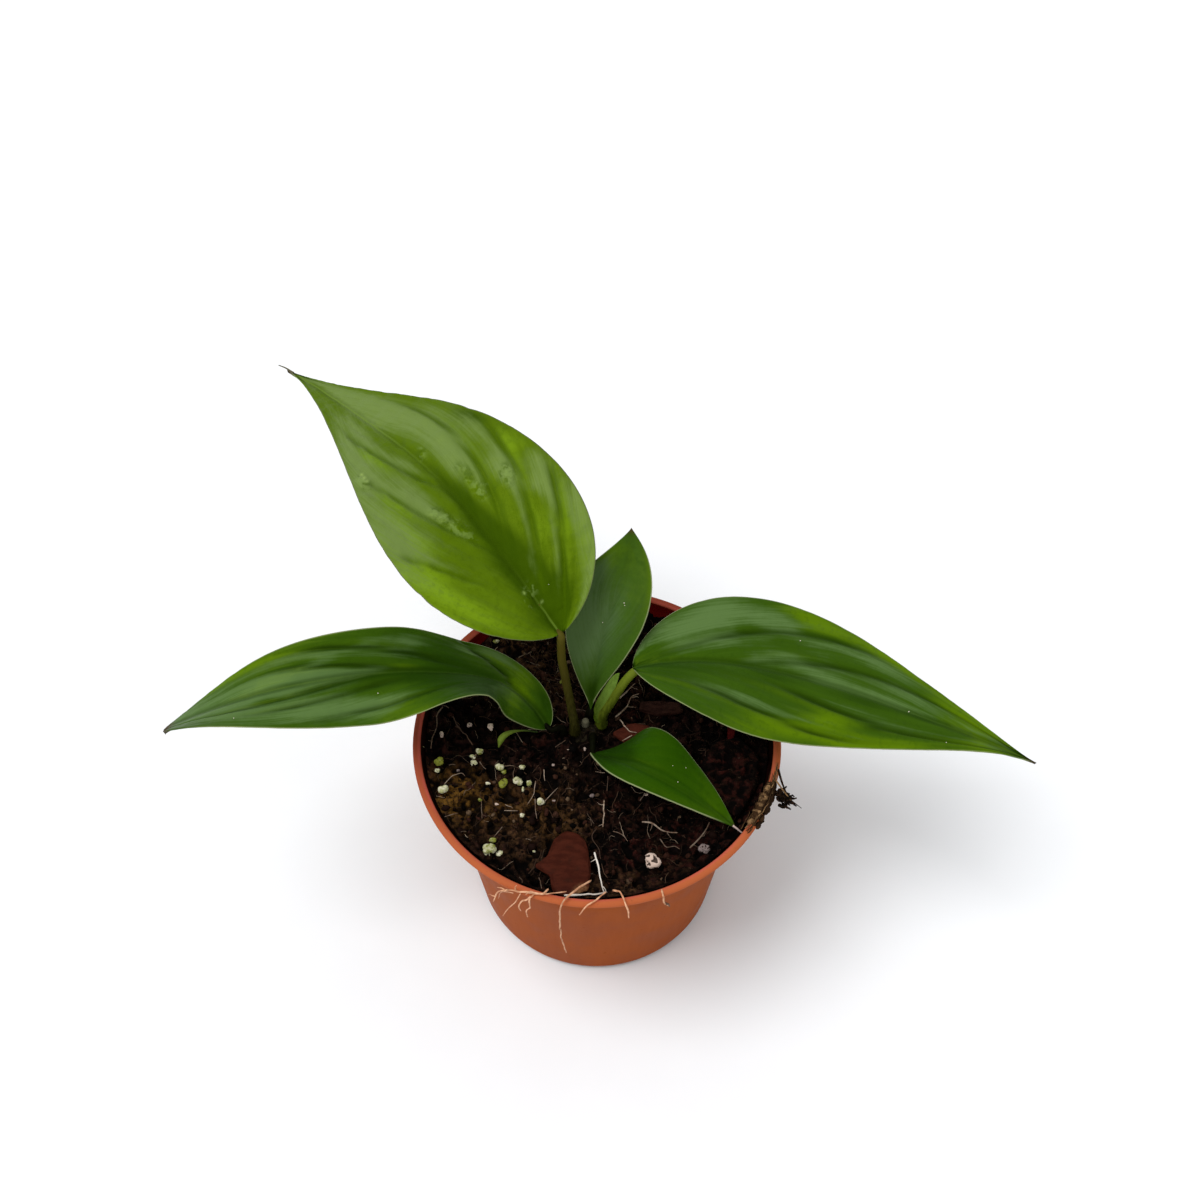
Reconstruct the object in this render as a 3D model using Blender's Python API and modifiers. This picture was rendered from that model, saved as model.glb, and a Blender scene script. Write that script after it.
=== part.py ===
"""A young homalomena in its nursery pot: pot, potting mix, crown, leaves on their stalks, roots and grit.

Every size and place below is in millimetres and every angle in degrees. A piece is scaled to metres when its
mesh is made. +Z is up, and the origin is on the pot's axis at the level the pot stands on.
"""

import math
from dataclasses import dataclass

import bmesh
import bpy
import numpy as np
from mathutils import Vector, noise

MM = 0.001
TOUCH_GAP = 0.3

POT_RIM_RADIUS = 45.0
POT_HEIGHT = 67.0
POT_BASE_RADIUS = 32.0
POT_BASE_FILLET = 3.0
POT_WAIST_RADIUS = 36.5
POT_WAIST_HEIGHT = 46.0
POT_NECK_RADIUS = 43.8
POT_NECK_HEIGHT = 64.8
POT_LIP_RADIUS = 0.8
POT_WALL = 1.0
POT_FLOOR = 1.2
POT_STEPS = 48
DRAIN_HOLES = 6
DRAIN_RADIUS = 3.5
DRAIN_CIRCLE = 21.0

SOIL_EDGE_HEIGHT = 64.0
SOIL_EDGE_SHARE = 0.1
SOIL_HEIGHT = 62.6
SOIL_MOUND = 1.1
SOIL_MOUND_RADIUS = 24.0
SOIL_LUMP = 0.55
SOIL_LUMP_LENGTH = 4.6
SOIL_RINGS = 12

CROWN_PLACE = (-2.5, 4.0)
CROWN_RADIUS = 5.0
CROWN_TOP = 64.8
CROWN_DEPTH = 15.0
FOOT_HEIGHT = CROWN_TOP + 0.4

BLADE_THICKNESS = 0.7
BLADE_ROWS = 18
BLADE_COLUMNS = 6
SPINE_STEPS = 240


@dataclass(frozen=True)
class Blade:
    """A leaf blade: its spine's turns at stations from base to tip, and the outline on each side of it."""

    base: tuple
    length: float
    half_widths: tuple  # left and right of the direction of growth
    fullness: tuple  # powers of the outline towards the base and towards the tip
    stations: tuple
    pitch: tuple  # above level
    heading: tuple  # from +X towards +Y
    roll: tuple
    fold: tuple  # how far each half rises from the midrib
    cup: float = 0.0  # how far the margins curl down, as a share of the half width


BLADES = {
    "back_left_blade": Blade(
        base=(-8.5, 11.5, 94.0),
        length=112.0,
        half_widths=(24.5, 24.0),
        fullness=(0.6, 1.6),
        stations=(0.0, 0.3, 0.65, 1.0),
        pitch=(21, 10, -8, -7),
        heading=(128, 128, 134, 138),
        roll=(3, 7, 3, -3),
        fold=(18, 14, 11, 3),
        cup=-0.01,
    ),
    "left_blade": Blade(
        base=(-12.0, 3.0, 65.4),
        length=102.0,
        half_widths=(13.0, 11.5),
        fullness=(0.6, 0.7),
        stations=(0.0, 0.12, 0.25, 0.5, 1.0),
        pitch=(50, 39, 24, 6, -28),
        heading=(131, 158, 188, 191, 192),
        roll=(16, -6, -14, 25, -36),
        fold=(21, 4, 17, 14, 8),
        cup=0.02,
    ),
    "back_blade": Blade(
        base=(-1.5, 6.5, 67.5),
        length=48.0,
        half_widths=(10.5, 9.5),
        fullness=(1.55, 1.15),
        stations=(0.0, 0.3, 0.65, 1.0),
        pitch=(61, 56, 38, 45),
        heading=(90, 70, 64, 88),
        roll=(1, 1, -1, -1),
        fold=(19, 19, 9, 3),
        cup=-0.01,
    ),
    "right_blade": Blade(
        base=(8.5, 9.0, 84.0),
        length=102.0,
        half_widths=(19.5, 19.0),
        fullness=(0.7, 1.6),
        stations=(0.0, 0.3, 0.65, 1.0),
        pitch=(9, -10, -9, -24),
        heading=(9, -6, -18, -12),
        roll=(4, -2, -2, -1),
        fold=(8, 2, -2, 15),
        cup=0.02,
    ),
    "front_blade": Blade(
        base=(-1.0, -4.5, 66.5),
        length=43.0,
        half_widths=(12.0, 5.0),
        fullness=(0.6, 1.1),
        stations=(0.0, 0.3, 0.65, 1.0),
        pitch=(39, 18, -20, -30),
        heading=(-41, -35, -25, -25),
        roll=(40, 3, 5, 0),
        fold=(11, 7, 1, 4),
        cup=0.01,
    ),
    "right_stalk_sheath": Blade(
        base=(-0.1, 4.1, FOOT_HEIGHT + 0.3),
        length=18.5,
        half_widths=(2.3, 2.1),
        fullness=(0.7, 0.9),
        stations=(0.0, 0.5, 1.0),
        pitch=(80, 69, 58),
        heading=(50, 36, 20),
        roll=(0, 0, 0),
        fold=(-10, -32, -25),
    ),
}

# Each stalk runs from its foot on the crown through these points to its blade's base.
STALKS = {
    "back_left_stalk": (1.25, 1.15, [(-5.4, 3.0, FOOT_HEIGHT + 0.3), (-6.3, 5.5, 72.0), (-7.6, 8.4, 80.0),
                                     (-8.5, 10.3, 88.0), (-8.5, 11.4, 93.3)]),
    "left_stalk": (1.1, 0.9, [(-8.2, 3.1, FOOT_HEIGHT), (-9.6, 2.8, 66.0), (-11.0, 2.6, 65.6)]),
    "back_stalk": (1.1, 0.9, [(-1.6, 7.3, FOOT_HEIGHT + 0.3), (-1.5, 7.0, 66.3), (-1.5, 6.7, 66.9)]),
    "right_stalk": (1.2, 1.1, [(2.0, 5.2, FOOT_HEIGHT), (5.0, 6.8, 75.2), (7.6, 8.1, 81.6),
                               (8.1, 8.8, 83.4)]),
    "front_stalk": (1.1, 0.9, [(-1.0, 0.6, FOOT_HEIGHT + 0.8), (-1.0, -1.6, 67.2), (-1.0, -3.5, 66.6)]),
}

OLD_STALK_STUB = (1.0, 0.9, [(-2.8, 4.3, FOOT_HEIGHT), (-2.8, 4.5, 67.8)])
SIDE_SHOOT_RADII = (0.55, 0.75)
SIDE_SHOOT_PATH = [(-16.5, 3.2, 1.1), (-18.6, 3.4, 3.0), (-21.6, 2.8, 3.6), (-23.6, 1.0, 3.0), (-24.3, -1.4, 1.3)]

# Flat pieces on the mix: corners round the outline seen from above, then thickness and squareness of the edge.
FLAT_PIECES = {
    "bark_chip_front": ([(-7.2, -24.4), (-4.4, -25.2), (-2.7, -26.8), (-1.8, -30.4), (-1.3, -35.5), (-1.7, -39.6),
                         (-4.9, -41.0), (-8.3, -41.2), (-10.2, -39.6), (-10.8, -36.2), (-14.5, -33.6), (-11.6, -31.2),
                         (-10.0, -26.8)], 2.0),
    "bark_chip_crown": ([(3.6, 2.2), (7.0, -0.4), (12.4, 0.6), (13.2, 4.4), (9.6, 5.2), (7.4, 4.8)], 1.6),
    "bark_strip_back": ([(10.2, 9.0), (15.0, 7.4), (21.4, 8.2), (21.0, 11.0), (15.0, 11.4), (10.8, 11.2)], 2.2),
    "peat_block_right": ([(25.0, -8.0), (27.5, -17.5), (33.5, -21.5), (38.6, -13.0), (39.4, -5.0), (34.8, 0.4),
                          (28.5, -1.0)], 3.4),
    "bark_splinter": ([(32.1, -0.6), (33.4, 0.0), (34.1, 2.6), (34.3, 8.0), (32.7, 8.0), (32.2, 2.6)], 1.6),
}

# Grains of perlite and pale grit: place seen from above, and size across.
GRAINS = [(-36.9, -13.6, 2.6), (-38.2, -5.6, 2.4), (-23.6, -7.0, 2.2), (-19.3, -11.2, 2.5), (-13.6, -16.6, 2.1),
          (-25.2, -29.2, 3.4), (13.0, -32.4, 4.2), (25.3, -29.0, 2.6)]

# Roots on the mix: radius, then points as place seen from above and clear height over the mix.
SOIL_ROOTS = [
    (0.4, [(-0.5, -29.9, 0.8), (0.6, -34.0, 0.7), (1.3, -38.2, 0.5), (1.9, -40.6, 0.5)]),
    (0.35, [(10.8, -21.7, 0.4), (13.0, -21.9, 0.8), (16.6, -24.2, 0.8), (19.3, -24.1, 0.4)]),
    (0.35, [(22.0, -28.2, 0.4), (24.0, -26.2, 0.7), (25.9, -23.7, 0.7), (26.9, -21.6, 0.4)]),
    (0.35, [(1.8, -15.8, 0.4), (1.8, -19.4, 0.6), (1.5, -23.3, 0.4)]),
    (0.35, [(4.6, 7.0, 0.6), (6.2, 8.4, 0.8), (7.6, 10.3, 0.6), (8.8, 13.2, 0.5), (10.6, 14.2, 0.4)]),
    (0.35, [(5.6, 12.6, 0.4), (7.8, 15.0, 0.8), (9.6, 17.6, 0.4)]),
    (0.35, [(-38.4, 10.1, 0.4), (-39.7, 7.1, 0.6), (-39.6, 3.7, 0.7), (-40.4, 0.8, 0.6), (-40.6, -2.1, 0.4)]),
    (0.35, [(-35.8, 7.7, 0.4), (-34.6, 5.4, 0.7), (-33.0, 2.8, 0.7), (-30.4, -0.9, 0.4)]),
]

# Roots that hang over the rim: radius, then points in space.
RIM_ROOTS = [
    (0.4, [(-1.2, -38.4, 66.6), (-4.6, -41.4, 67.9), (-7.4, -44.2, 68.1), (-8.2, -45.8, 66.0), (-8.3, -46.0, 56.0),
           (-7.2, -44.6, 40.0)]),
    (0.4, [(3.8, -40.4, 65.6), (5.7, -42.2, 67.8), (6.5, -44.4, 67.9), (7.2, -45.8, 65.6), (7.5, -45.9, 62.6)]),
    (0.35, [(2.2, -41.2, 66.4), (0.6, -43.2, 67.7), (-1.6, -44.8, 67.7), (-3.9, -46.0, 64.4)]),
    (0.4, [(-11.0, -40.6, 66.6), (-12.4, -42.4, 67.8), (-17.4, -41.9, 68.0), (-22.0, -41.0, 66.6),
           (-24.0, -40.6, 60.0)]),
]

RIM_CLUMP_ANGLE = -24.0
RIM_CLUMP_SIZE = (3.0, 8.0, 2.2)
RIM_CLUMP_SINK = 0.3

COLOURS = {
    "terracotta_plastic": ((0.33, 0.10, 0.045), 0.45),
    "potting_mix": ((0.018, 0.012, 0.009), 0.95),
    "crown": ((0.12, 0.10, 0.04), 0.7),
    "leaf_yellow_green": ((0.14, 0.26, 0.02), 0.4),
    "leaf_green": ((0.05, 0.15, 0.02), 0.4),
    "stalk_green": ((0.10, 0.16, 0.02), 0.45),
    "sheath": ((0.16, 0.30, 0.05), 0.45),
    "bark": ((0.07, 0.025, 0.018), 0.8),
    "perlite": ((0.70, 0.66, 0.52), 0.9),
    "root": ((0.55, 0.42, 0.30), 0.7),
}


def smooth(stations, values, where):
    """Cubic Hermite curve through the stations. A station's slope is the harmonic mean of the slopes on its two
    sides, and zero at a peak or a dip, so the curve never overshoots."""
    places, heights = np.asarray(stations, float), np.asarray(values, float)
    steps = np.diff(places)
    chords = np.diff(heights) / steps
    slopes = np.zeros(len(places))
    slopes[0], slopes[-1] = chords[0], chords[-1]
    before, after = chords[:-1], chords[1:]
    climbing = before * after > 0
    slopes[1:-1][climbing] = 2 / (1 / before[climbing] + 1 / after[climbing])
    span = np.clip(np.searchsorted(places, where, side="right") - 1, 0, len(steps) - 1)
    part = (where - places[span]) / steps[span]
    ease = part * part * (3 - 2 * part)
    bow = slopes[span] * part * (1 - part) ** 2 + slopes[span + 1] * part * part * (part - 1)
    return heights[span] * (1 - ease) + heights[span + 1] * ease + steps[span] * bow


def smooth_path(points, count):
    """Points along a smooth curve through the given ones, evenly spread over the chord lengths."""
    points = np.asarray(points, float)
    along = np.concatenate([[0], np.cumsum(np.linalg.norm(np.diff(points, axis=0), axis=1))])
    where = np.linspace(0, along[-1], count)
    return np.stack([smooth(along, points[:, k], where) for k in range(3)], axis=1)


def blade_points(blade, along, across):
    """Points of a blade for along in 0..1 and across in -1..1. The spine is the sum of small steps turned by pitch
    and heading. The outline is along^a (1 - along)^b scaled to 1 at its widest. Across it, each half rises by the
    fold, and cup bends it by the square of across."""
    fine = np.linspace(0, 1, SPINE_STEPS + 1)
    pitch, heading, roll, fold = (np.radians(smooth(blade.stations, turns, fine))
                                  for turns in (blade.pitch, blade.heading, blade.roll, blade.fold))
    ahead = np.stack([np.cos(pitch) * np.cos(heading), np.cos(pitch) * np.sin(heading), np.sin(pitch)], 1)
    steps = (ahead[1:] + ahead[:-1]) / 2 * blade.length / SPINE_STEPS
    spine = np.concatenate([[np.zeros(3)], np.cumsum(steps, axis=0)]) + np.array(blade.base)
    right = np.stack([np.sin(heading), -np.cos(heading), 0 * heading], 1)
    up = np.cross(right, ahead)
    tilt = roll[:, None]
    right, up = right * np.cos(tilt) + up * np.sin(tilt), up * np.cos(tilt) - right * np.sin(tilt)
    toward_base, toward_tip = blade.fullness
    widest = toward_base / (toward_base + toward_tip)
    outline = (fine / widest) ** toward_base * ((1 - fine) / (1 - widest)) ** toward_tip

    def at(values):
        if values.ndim == 1:
            return np.interp(along, fine, values)
        return np.stack([np.interp(along, fine, values[:, k]) for k in range(3)], axis=-1)

    left_width, right_width = blade.half_widths
    half = np.where(across > 0, right_width, left_width) * at(outline)
    sideways = half * across * np.cos(at(fold))
    rise = np.abs(half * across) * np.sin(at(fold)) - blade.cup * half * across**2
    return at(spine) + at(right) * sideways[..., None] + at(up) * rise[..., None]


def pot_radius(height):
    """Outer radius of the pot's wall: a straight taper up to the waist, then a flare as the square of the height."""
    if height <= POT_WAIST_HEIGHT:
        share = (height - POT_BASE_FILLET) / (POT_WAIST_HEIGHT - POT_BASE_FILLET)
        return POT_BASE_RADIUS + (POT_WAIST_RADIUS - POT_BASE_RADIUS) * share
    share = (height - POT_WAIST_HEIGHT) / (POT_NECK_HEIGHT - POT_WAIST_HEIGHT)
    return POT_WAIST_RADIUS + (POT_NECK_RADIUS - POT_WAIST_RADIUS) * share**2


def soil_radius(height):
    """Radius of the potting mix's side, a little inside the pot's wall."""
    return pot_radius(height) - POT_WALL - 2 * TOUCH_GAP


def ground(x, y):
    """Height of the potting mix: a low mound round the crown with soft lumps on it, level at the edge."""
    from_crown = np.hypot(x - CROWN_PLACE[0], y - CROWN_PLACE[1])
    mound = SOIL_MOUND * np.exp(-((from_crown / SOIL_MOUND_RADIUS) ** 2))
    wave = np.sin(x / SOIL_LUMP_LENGTH + 0.7) * np.cos(y / SOIL_LUMP_LENGTH - 0.4)
    ripple = 0.5 * np.sin((x + 1.6 * y) / SOIL_LUMP_LENGTH + 1.9)
    level = SOIL_HEIGHT + mound + SOIL_LUMP * (wave + ripple)
    reach = np.hypot(x, y) / soil_radius(SOIL_EDGE_HEIGHT)
    at_edge = np.clip((reach - 1 + SOIL_EDGE_SHARE) / SOIL_EDGE_SHARE, 0, 1)
    return level * (1 - at_edge) + SOIL_EDGE_HEIGHT * at_edge


def clear_scene():
    for thing in list(bpy.data.objects):
        bpy.data.objects.remove(thing)


def new_collection(name):
    collection = bpy.data.collections.new(name)
    bpy.context.scene.collection.children.link(collection)
    return collection


def new_material(name, colour, roughness):
    material = bpy.data.materials.new(name)
    material.use_nodes = True
    shader = material.node_tree.nodes["Principled BSDF"]
    shader.inputs["Base Color"].default_value = (*colour, 1.0)
    shader.inputs["Roughness"].default_value = roughness
    shader.inputs["Metallic"].default_value = 0.0
    return material


def add_object(name, data, material):
    piece = bpy.data.objects.new(name, data)
    PARTS.objects.link(piece)
    data.materials.append(MATERIALS[material])
    return piece


def add_mesh(name, shape, material):
    """Scales a bmesh from millimetres to metres and makes it an object, shaded smooth."""
    bmesh.ops.scale(shape, vec=(MM, MM, MM), verts=shape.verts)
    data = bpy.data.meshes.new(name)
    shape.to_mesh(data)
    shape.free()
    data.shade_smooth()
    return add_object(name, data, material)


def as_mesh(piece):
    """Replaces an object by the mesh that its curve or modifiers give, its caps welded."""
    bpy.context.view_layer.update()
    evaluated = piece.evaluated_get(bpy.context.evaluated_depsgraph_get())
    data = bpy.data.meshes.new_from_object(evaluated)
    shape = bmesh.new()
    shape.from_mesh(data)
    bmesh.ops.remove_doubles(shape, verts=shape.verts, dist=1e-6)
    shape.to_mesh(data)
    shape.free()
    name, collection = piece.name, piece.users_collection[0]
    placed = piece.matrix_world.copy()
    bpy.data.objects.remove(piece)
    solid = bpy.data.objects.new(name, data)
    solid.matrix_world = placed
    collection.objects.link(solid)
    return solid


def turned(name, profile, material):
    """Turns a profile of (radius, height) points round the Z axis."""
    data = bpy.data.meshes.new(name)
    points = [(radius * MM, 0.0, height * MM) for radius, height in profile]
    edges = [(k, k + 1) for k in range(len(points) - 1)]
    data.from_pydata(points, edges, [])
    piece = add_object(name, data, material)
    screw = piece.modifiers.new("turn", "SCREW")
    screw.axis = "Z"
    screw.steps = screw.render_steps = POT_STEPS
    screw.use_merge_vertices = True
    screw.merge_threshold = 1e-5
    return piece


def tube(name, points, radii, material, count=None, sides=2):
    """A round bar along a smooth curve through the points, thinning from the first radius to the second."""
    count = count or 4 * len(points)
    route = smooth_path(points, count)
    data = bpy.data.curves.new(name, "CURVE")
    data.dimensions = "3D"
    data.bevel_depth = MM
    data.bevel_resolution = sides
    data.use_fill_caps = True
    spline = data.splines.new("POLY")
    spline.points.add(count - 1)
    for k, point in enumerate(route):
        spline.points[k].co = (*(point * MM), 1.0)
        spline.points[k].radius = radii[0] + (radii[1] - radii[0]) * k / (count - 1)
    return add_object(name, data, material)


def cut(piece, cutter):
    CUTTERS.objects.link(cutter)
    PARTS.objects.unlink(cutter)
    cutter.hide_render = True
    cutter.display_type = "WIRE"
    boolean = piece.modifiers.new("cut", "BOOLEAN")
    boolean.operation = "DIFFERENCE"
    boolean.object = cutter


def arc(centre, radius, start, end, count):
    """Points on a circle in the profile plane, from one angle to another."""
    angles = np.radians(np.linspace(start, end, count))
    return [(centre[0] + radius * math.cos(a), centre[1] + radius * math.sin(a)) for a in angles]


def make_pot():
    flare = np.linspace(POT_NECK_HEIGHT, POT_WAIST_HEIGHT, 6)
    inner = [(0.0, POT_FLOOR), (POT_BASE_RADIUS - POT_BASE_FILLET, POT_FLOOR)]
    inner.append((pot_radius(POT_BASE_FILLET + 1.0) - POT_WALL, POT_BASE_FILLET + 1.0))
    inner += [(pot_radius(z) - POT_WALL, z) for z in flare[::-1]]
    lip_centre = (POT_RIM_RADIUS - POT_LIP_RADIUS, POT_HEIGHT - POT_LIP_RADIUS)
    lip = arc(lip_centre, POT_LIP_RADIUS, 150, -60, 6)
    outer = [(pot_radius(z), z) for z in flare]
    fillet_centre = (POT_BASE_RADIUS - POT_BASE_FILLET, POT_BASE_FILLET)
    outer += arc(fillet_centre, POT_BASE_FILLET, 0, -90, 4)
    outer.append((0.0, 0.0))
    pot = turned("nursery_pot", inner + lip + outer, "terracotta_plastic")
    for k in range(DRAIN_HOLES):
        angle = 2 * math.pi * (k + 0.5) / DRAIN_HOLES
        hole = bmesh.new()
        bmesh.ops.create_cone(hole, cap_ends=True, segments=16, radius1=DRAIN_RADIUS, radius2=DRAIN_RADIUS, depth=4)
        place = Vector((DRAIN_CIRCLE * math.cos(angle), DRAIN_CIRCLE * math.sin(angle), POT_FLOOR / 2))
        bmesh.ops.translate(hole, vec=place, verts=hole.verts)
        cut(pot, add_mesh(f"drain_hole_{k + 1}", hole, "terracotta_plastic"))


def crown_profile(clearance):
    """The crown's outline from its top to its root end, grown by a clearance."""
    low = CROWN_TOP - CROWN_DEPTH
    points = [(0.0, CROWN_TOP), (3.0, CROWN_TOP - 0.1), (4.4, CROWN_TOP - 0.6), (CROWN_RADIUS, CROWN_TOP - 1.8),
              (CROWN_RADIUS, CROWN_TOP - 5.0), (3.6, low + 3.0), (0.0, low)]
    return [(radius + clearance * (radius > 0), z + clearance * np.sign(z - CROWN_TOP + 5)) for radius, z in points]


def move_mesh(piece, x, y):
    for vertex in piece.data.vertices:
        vertex.co.x += x * MM
        vertex.co.y += y * MM


def make_crown_and_mix():
    """The mix fills the pot up to its lumpy surface and leaves a socket for the crown."""
    socket = as_mesh(turned("crown_socket", crown_profile(TOUCH_GAP), "crown"))
    crown = as_mesh(turned("crown", crown_profile(0.0), "crown"))
    for piece in (socket, crown):
        move_mesh(piece, *CROWN_PLACE)
        piece.data.shade_smooth()
    edge = soil_radius(SOIL_EDGE_HEIGHT)
    top = [(edge * k / SOIL_RINGS, POT_HEIGHT) for k in range(SOIL_RINGS + 1)]
    heights = np.linspace(SOIL_EDGE_HEIGHT - 2.5, POT_WAIST_HEIGHT, 6)
    side = [(soil_radius(z), z) for z in heights]
    floor = POT_FLOOR + TOUCH_GAP
    side.append((soil_radius(POT_BASE_FILLET + 2.0), POT_BASE_FILLET + 2.0))
    side.append((POT_BASE_RADIUS - POT_BASE_FILLET - 2.0, floor))
    side.append((0.0, floor))
    mix = as_mesh(turned("potting_mix", top + side, "potting_mix"))
    for vertex in mix.data.vertices:
        x, y, z = vertex.co / MM
        if z > POT_HEIGHT - 0.1:
            vertex.co.z = ground(x, y) * MM
    mix.data.shade_smooth()
    cut(mix, socket)


def make_blade(name, blade, material):
    """A grid bent to the blade's surface, its rows closer at both ends, and given its thickness."""
    shape = bmesh.new()
    bmesh.ops.create_grid(shape, x_segments=BLADE_ROWS, y_segments=BLADE_COLUMNS, size=1.0)
    flat = np.array([vertex.co[:2] for vertex in shape.verts])
    along = (flat[:, 0] + 1) / 2
    along = np.clip(along - 0.6 * np.sin(2 * np.pi * along) / (2 * np.pi), 0, 1)
    for vertex, point in zip(shape.verts, blade_points(blade, along, -flat[:, 1])):
        vertex.co = point
    bmesh.ops.remove_doubles(shape, verts=shape.verts, dist=0.01)
    piece = add_mesh(name, shape, material)
    thickness = piece.modifiers.new("thickness", "SOLIDIFY")
    thickness.thickness = BLADE_THICKNESS * MM
    thickness.offset = 0.0


def settle(points):
    """How far to raise a set of points so that they all clear the mix by the touching gap."""
    return float(np.max(ground(points[:, 0], points[:, 1]) - points[:, 2]) + TOUCH_GAP)


def outline_reach(corners, angles):
    """The corners' middle, and how far from it the straight sides between the corners lie at each angle."""
    corners = np.asarray(corners, float)
    middle = corners.mean(axis=0)
    arms = corners - middle
    bearing = np.arctan2(arms[:, 1], arms[:, 0])
    arms = arms[np.argsort(bearing)]
    start = (np.searchsorted(np.sort(bearing), angles, side="right") - 1) % len(arms)
    side = arms[(start + 1) % len(arms)] - arms[start]
    area = arms[start, 0] * side[:, 1] - arms[start, 1] * side[:, 0]
    return middle, area / (np.cos(angles) * side[:, 1] - np.sin(angles) * side[:, 0])


def make_flat_piece(name, corners, thickness, material):
    """A sphere pressed flat: its rim follows the outline and its faces are nearly level, with shallow dents."""
    shape = bmesh.new()
    bmesh.ops.create_uvsphere(shape, u_segments=20, v_segments=8, radius=1.0)
    ball = np.array([vertex.co for vertex in shape.verts])
    level = np.hypot(ball[:, 0], ball[:, 1])
    middle, reach = outline_reach(corners, np.arctan2(ball[:, 1], ball[:, 0]))
    spread = (level**0.45 * reach / np.maximum(level, 1e-6))[:, None]
    points = np.column_stack([middle + ball[:, :2] * spread, ball[:, 2] * thickness / 2])
    dents = [noise.noise(Vector(point) * 0.35) for point in points]
    points[:, 2] += 0.12 * thickness * np.array(dents) * np.sign(points[:, 2])
    points[:, 2] += settle(points)
    for vertex, point in zip(shape.verts, points):
        vertex.co = point
    add_mesh(name, shape, material)


def make_grain(name, x, y, size):
    """A pitted ball of perlite resting on the mix."""
    shape = bmesh.new()
    bmesh.ops.create_icosphere(shape, subdivisions=2, radius=size / 2)
    points = np.array([vertex.co for vertex in shape.verts])
    pits = np.array([noise.noise(Vector(point) / size * 2.4 + Vector((x, y, 0))) for point in points])
    points = points * (1 + 0.28 * pits[:, None]) * (1.0, 0.9, 0.8) + (x, y, 0)
    points[:, 2] += settle(points)
    for vertex, point in zip(shape.verts, points):
        vertex.co = point
    add_mesh(name, shape, "perlite")


def make_rim_clump():
    """A matted lump of root fibre and mix that lies over the rim, flat where it rests on it."""
    shape = bmesh.new()
    bmesh.ops.create_icosphere(shape, subdivisions=3, radius=1.0)
    angle = math.radians(RIM_CLUMP_ANGLE)
    outward = np.array([math.cos(angle), math.sin(angle)])
    sideways = np.array([-outward[1], outward[0]])
    for vertex in shape.verts:
        bulge = 1 + 0.3 * noise.noise(vertex.co * 1.8)
        radial, along, height = (bulge * share * size for share, size in zip(vertex.co, RIM_CLUMP_SIZE))
        place = outward * (POT_RIM_RADIUS + radial) + sideways * along
        vertex.co = (*place, POT_HEIGHT + TOUCH_GAP + max(RIM_CLUMP_SINK + height, 0.0))
    add_mesh("rim_root_clump", shape, "bark")


def make_roots():
    for k, (radius, points) in enumerate(SOIL_ROOTS, 1):
        route = smooth_path(points, 4 * len(points))
        route[:, 2] += ground(route[:, 0], route[:, 1]) + radius
        tube(f"soil_root_{k}", route, (radius, 0.6 * radius), "root", len(route), sides=1)
    for k, (radius, points) in enumerate(RIM_ROOTS, 1):
        tube(f"rim_root_{k}", points, (radius, 0.6 * radius), "root", 5 * len(points), sides=1)


def make_shoot():
    route = smooth_path(SIDE_SHOOT_PATH, 20)
    route[:, 2] += ground(route[:, 0], route[:, 1])
    tube("side_shoot", route, SIDE_SHOOT_RADII, "sheath", len(route))


def main():
    make_pot()
    make_crown_and_mix()
    for name, blade in BLADES.items():
        pale = {"back_left_blade": "leaf_yellow_green", "right_stalk_sheath": "sheath"}
        make_blade(name, blade, pale.get(name, "leaf_green"))
    for name, (foot_radius, top_radius, points) in STALKS.items():
        tube(name, points, (foot_radius, top_radius), "stalk_green")
    tube("old_stalk_stub", OLD_STALK_STUB[2], OLD_STALK_STUB[:2], "crown")
    make_shoot()
    for name, (corners, thickness) in FLAT_PIECES.items():
        make_flat_piece(name, corners, thickness, "bark")
    for k, (x, y, size) in enumerate(GRAINS, 1):
        make_grain(f"perlite_{k}", x, y, size)
    make_rim_clump()
    make_roots()


clear_scene()
PARTS = new_collection("potted_homalomena")
CUTTERS = new_collection("cutters")
MATERIALS = {name: new_material(name, *finish) for name, finish in COLOURS.items()}
main()
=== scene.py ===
"""A young homalomena in its nursery pot: the finish of every surface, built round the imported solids.

Sizes and places are in millimetres and angles in degrees, as in the part's own source, and a piece is scaled
to metres when its mesh is made. +Z is up, and the origin is on the pot's axis at the level the pot stands on.
"""

import itertools
import math
from dataclasses import dataclass, field

import bmesh
import bpy
import numpy as np
from mathutils import Matrix, Vector


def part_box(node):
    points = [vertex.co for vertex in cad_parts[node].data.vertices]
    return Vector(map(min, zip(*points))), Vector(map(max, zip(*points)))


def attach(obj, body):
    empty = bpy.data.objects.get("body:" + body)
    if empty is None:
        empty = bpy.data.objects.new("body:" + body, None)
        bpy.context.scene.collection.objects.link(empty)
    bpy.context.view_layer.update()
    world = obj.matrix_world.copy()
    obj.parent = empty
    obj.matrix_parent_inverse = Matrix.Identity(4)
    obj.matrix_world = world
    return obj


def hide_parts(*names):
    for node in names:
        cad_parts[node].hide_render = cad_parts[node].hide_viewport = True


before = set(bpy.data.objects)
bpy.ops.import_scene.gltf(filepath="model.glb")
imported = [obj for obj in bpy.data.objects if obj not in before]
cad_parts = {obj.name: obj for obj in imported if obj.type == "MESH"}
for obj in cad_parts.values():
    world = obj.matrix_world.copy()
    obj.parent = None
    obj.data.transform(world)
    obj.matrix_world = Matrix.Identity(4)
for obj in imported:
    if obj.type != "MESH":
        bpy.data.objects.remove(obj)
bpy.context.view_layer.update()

MM = 0.001
MERGE = 2e-6


def span(node):
    """Lowest and highest corner of a solid, in millimetres."""
    return [np.array(corner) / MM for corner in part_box(node)]


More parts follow.
